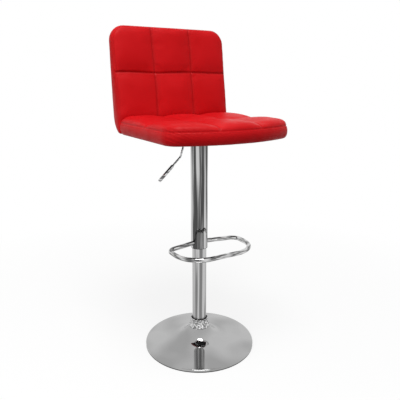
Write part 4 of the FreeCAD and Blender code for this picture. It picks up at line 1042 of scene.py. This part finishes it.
def seen_directly(tree):
    """One for the rays that show the background: camera, mirrored and transmitted ones."""
    path = add_node(tree, "ShaderNodeLightPath")
    either = add_node(tree, "ShaderNodeMath", operation="MAXIMUM")
    tree.links.new(path.outputs["Is Camera Ray"], either.inputs[0])
    tree.links.new(path.outputs["Is Glossy Ray"], either.inputs[1])
    shown = add_node(tree, "ShaderNodeMath", operation="MAXIMUM")
    tree.links.new(either.outputs[0], shown.inputs[0])
    tree.links.new(path.outputs["Is Transmission Ray"], shown.inputs[1])
    return shown.outputs[0]


def make_world():
    """White background, also in metal, and a soft light that comes mostly from above."""
    world = bpy.data.worlds.new("studio")
    bpy.context.scene.world = world
    world.use_nodes = True
    tree = world.node_tree
    background = tree.nodes["Background"]
    coordinates = add_node(tree, "ShaderNodeTexCoord")
    split = add_node(tree, "ShaderNodeSeparateXYZ")
    tree.links.new(coordinates.outputs["Generated"], split.inputs["Vector"])
    ambient = ramp_of(tree, split.outputs["Z"], AMBIENT)
    shown = add_node(tree, "ShaderNodeMix", data_type="RGBA")
    shown.inputs[7].default_value = (1, 1, 1, 1)
    tree.links.new(seen_directly(tree), shown.inputs["Factor"])
    tree.links.new(ambient, shown.inputs[6])
    tree.links.new(shown.outputs[2], background.inputs["Color"])
    background.inputs["Strength"].default_value = 1


def make_floor():
    """A pale floor that keeps the stool's soft shadow and fades into the white surroundings."""
    mesh = bpy.data.meshes.new("floor")
    corners = [(-1, -1), (1, -1), (1, 1), (-1, 1)]
    mesh.from_pydata(
        [(FLOOR_REACH * x, FLOOR_REACH * y, 0) for x, y in corners], [], [(0, 1, 2, 3)])
    floor = bpy.data.objects.new("floor", mesh)
    bpy.context.scene.collection.objects.link(floor)
    floor.location.z = -FLOOR_DROP
    material, tree, shader = new_material("pale_floor", (0.25, 0.25, 0.25), 0.9)
    shader.inputs["Specular IOR Level"].default_value = 0
    coordinates = add_node(tree, "ShaderNodeTexCoord")
    away = add_node(tree, "ShaderNodeVectorMath", operation="LENGTH")
    tree.links.new(coordinates.outputs["Object"], away.inputs[0])
    white = add_node(tree, "ShaderNodeEmission")
    matt = add_node(tree, "ShaderNodeBsdfDiffuse")
    matt.inputs["Color"].default_value = (0.95, 0.95, 0.95, 1)
    open_floor = add_node(tree, "ShaderNodeMixShader")
    fade = spread(tree, away.outputs["Value"], FADE_AT_STOOL, 1, FADE_START, FADE_END)
    tree.links.new(fade, open_floor.inputs["Fac"])
    tree.links.new(matt.outputs[0], open_floor.inputs[1])
    tree.links.new(white.outputs[0], open_floor.inputs[2])
    shown = add_node(tree, "ShaderNodeMixShader")
    tree.links.new(seen_directly(tree), shown.inputs["Fac"])
    tree.links.new(shader.outputs[0], shown.inputs[1])
    tree.links.new(open_floor.outputs[0], shown.inputs[2])
    tree.links.new(shown.outputs[0], tree.nodes["Material Output"].inputs["Surface"])
    mesh.materials.append(material)


def make_studio():
    """Camera, floor, surroundings and lamps."""
    make_camera()
    make_world()
    make_floor()
    for lamp in LAMPS:
        add_lamp(*lamp)
    bpy.context.scene.view_settings.view_transform = "Standard"


dress_nodes()
make_studio()
make_upholstery()
